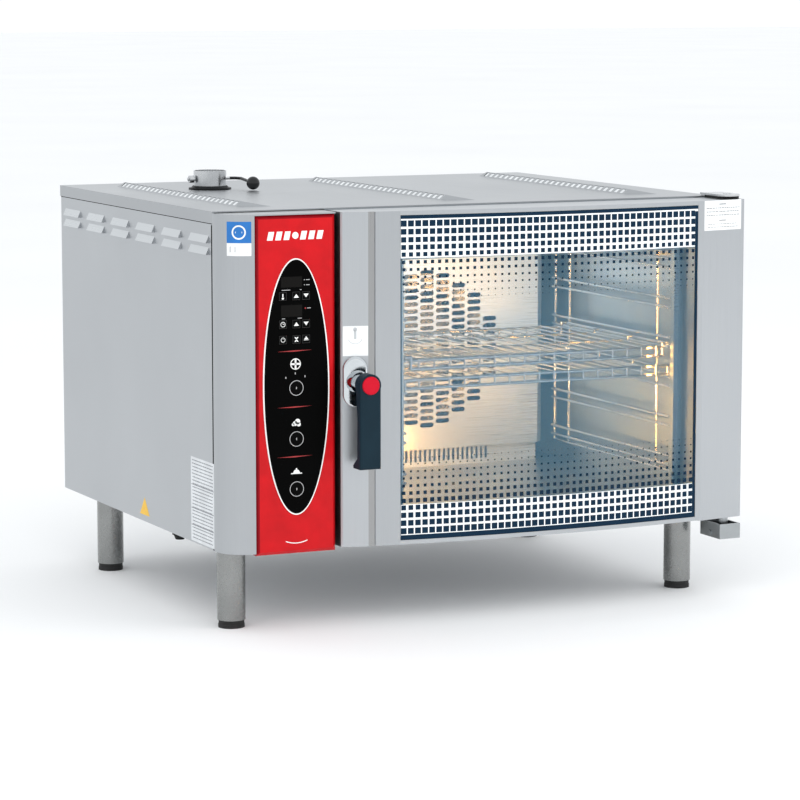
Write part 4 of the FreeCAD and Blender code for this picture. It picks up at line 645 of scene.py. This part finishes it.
def soft_light(name, place, target, size, power, colour, seen=True, mirrored=True):
    """A rectangular light; seen and mirrored say whether the camera and the shiny parts show it."""
    lamp = bpy.data.lights.new(name, "AREA")
    lamp.shape = "RECTANGLE"
    lamp.size, lamp.size_y = size
    lamp.energy = power
    lamp.color = colour
    made = bpy.data.objects.new(name, lamp)
    made.location = place
    made.rotation_euler = (Vector(target) - Vector(place)).to_track_quat("-Z", "Y").to_euler()
    made.visible_camera, made.visible_glossy = seen, mirrored
    bpy.context.scene.collection.objects.link(made)


def studio_world():
    world = bpy.data.worlds.new("studio")
    bpy.context.scene.world = world
    world.use_nodes = True
    background = world.node_tree.nodes["Background"]
    background.inputs["Color"].default_value = (0.955, 0.98, 1.0, 1.0)
    background.inputs["Strength"].default_value = 1.06


studio_floor()
studio_world()
OVEN_MIDDLE = (0.0, 0.0, 0.4)
soft_light("key_light", (-2.6, -3.4, 3.6), OVEN_MIDDLE, (4.6, 3.6), 70.0, WHITE, mirrored=False)
soft_light("fill_light", (3.2, -3.0, 2.2), OVEN_MIDDLE, (3.6, 3.0), 45.0, WHITE, mirrored=False)

# Inside the chamber: the two lamps, their warm reflections on the baffle and the rails, and a cool wash.
for height in (300, 588):
    target = at(60.0, 140.0, height - 20.0)
    soft_light(f"lamp_glow_{height}", at(-138.0, -300.0, height), target, (0.05, 0.05), 2.4, LAMP)
GLOWS = {
    "glow_low": (at(90.0, 60.0, 232.0), at(110.0, 140.0, 262.0), (0.12, 0.015), 0.24),
    "glow_high": (at(-50.0, 60.0, 648.0), at(-50.0, 140.0, 615.0), (0.10, 0.02), 0.34),
    "glow_rail": (at(392.0, -352.0, 450.0), at(432.0, -300.0, 450.0), (0.02, 0.40), 0.8),
}
for name, (place, target, size, power) in GLOWS.items():
    soft_light(name, place, target, size, power, WARM, seen=False)
soft_light("chamber_wash", at(150.0, -250.0, 640.0), at(200.0, 140.0, 380.0), (0.3, 0.1), 4.0, BLUISH,
           seen=False, mirrored=False)

FOCAL_LENGTH, FILM_WIDTH = 145.98, 36.0       # in millimetres
PITCH, YAW = 7.42, 25.05                      # in degrees, down and to the right
camera = bpy.data.cameras.new("photo_camera")
camera.lens, camera.sensor_width = FOCAL_LENGTH, FILM_WIDTH
camera.clip_end = 200.0
viewer = bpy.data.objects.new("photo_camera", camera)
viewer.location = at(-2596.6, -5621.4, 1150.2)
viewer.rotation_euler = (math.radians(90.0 - PITCH), 0.0, math.radians(-YAW))
bpy.context.scene.collection.objects.link(viewer)
bpy.context.scene.camera = viewer
bpy.context.scene.view_settings.view_transform = "Standard"
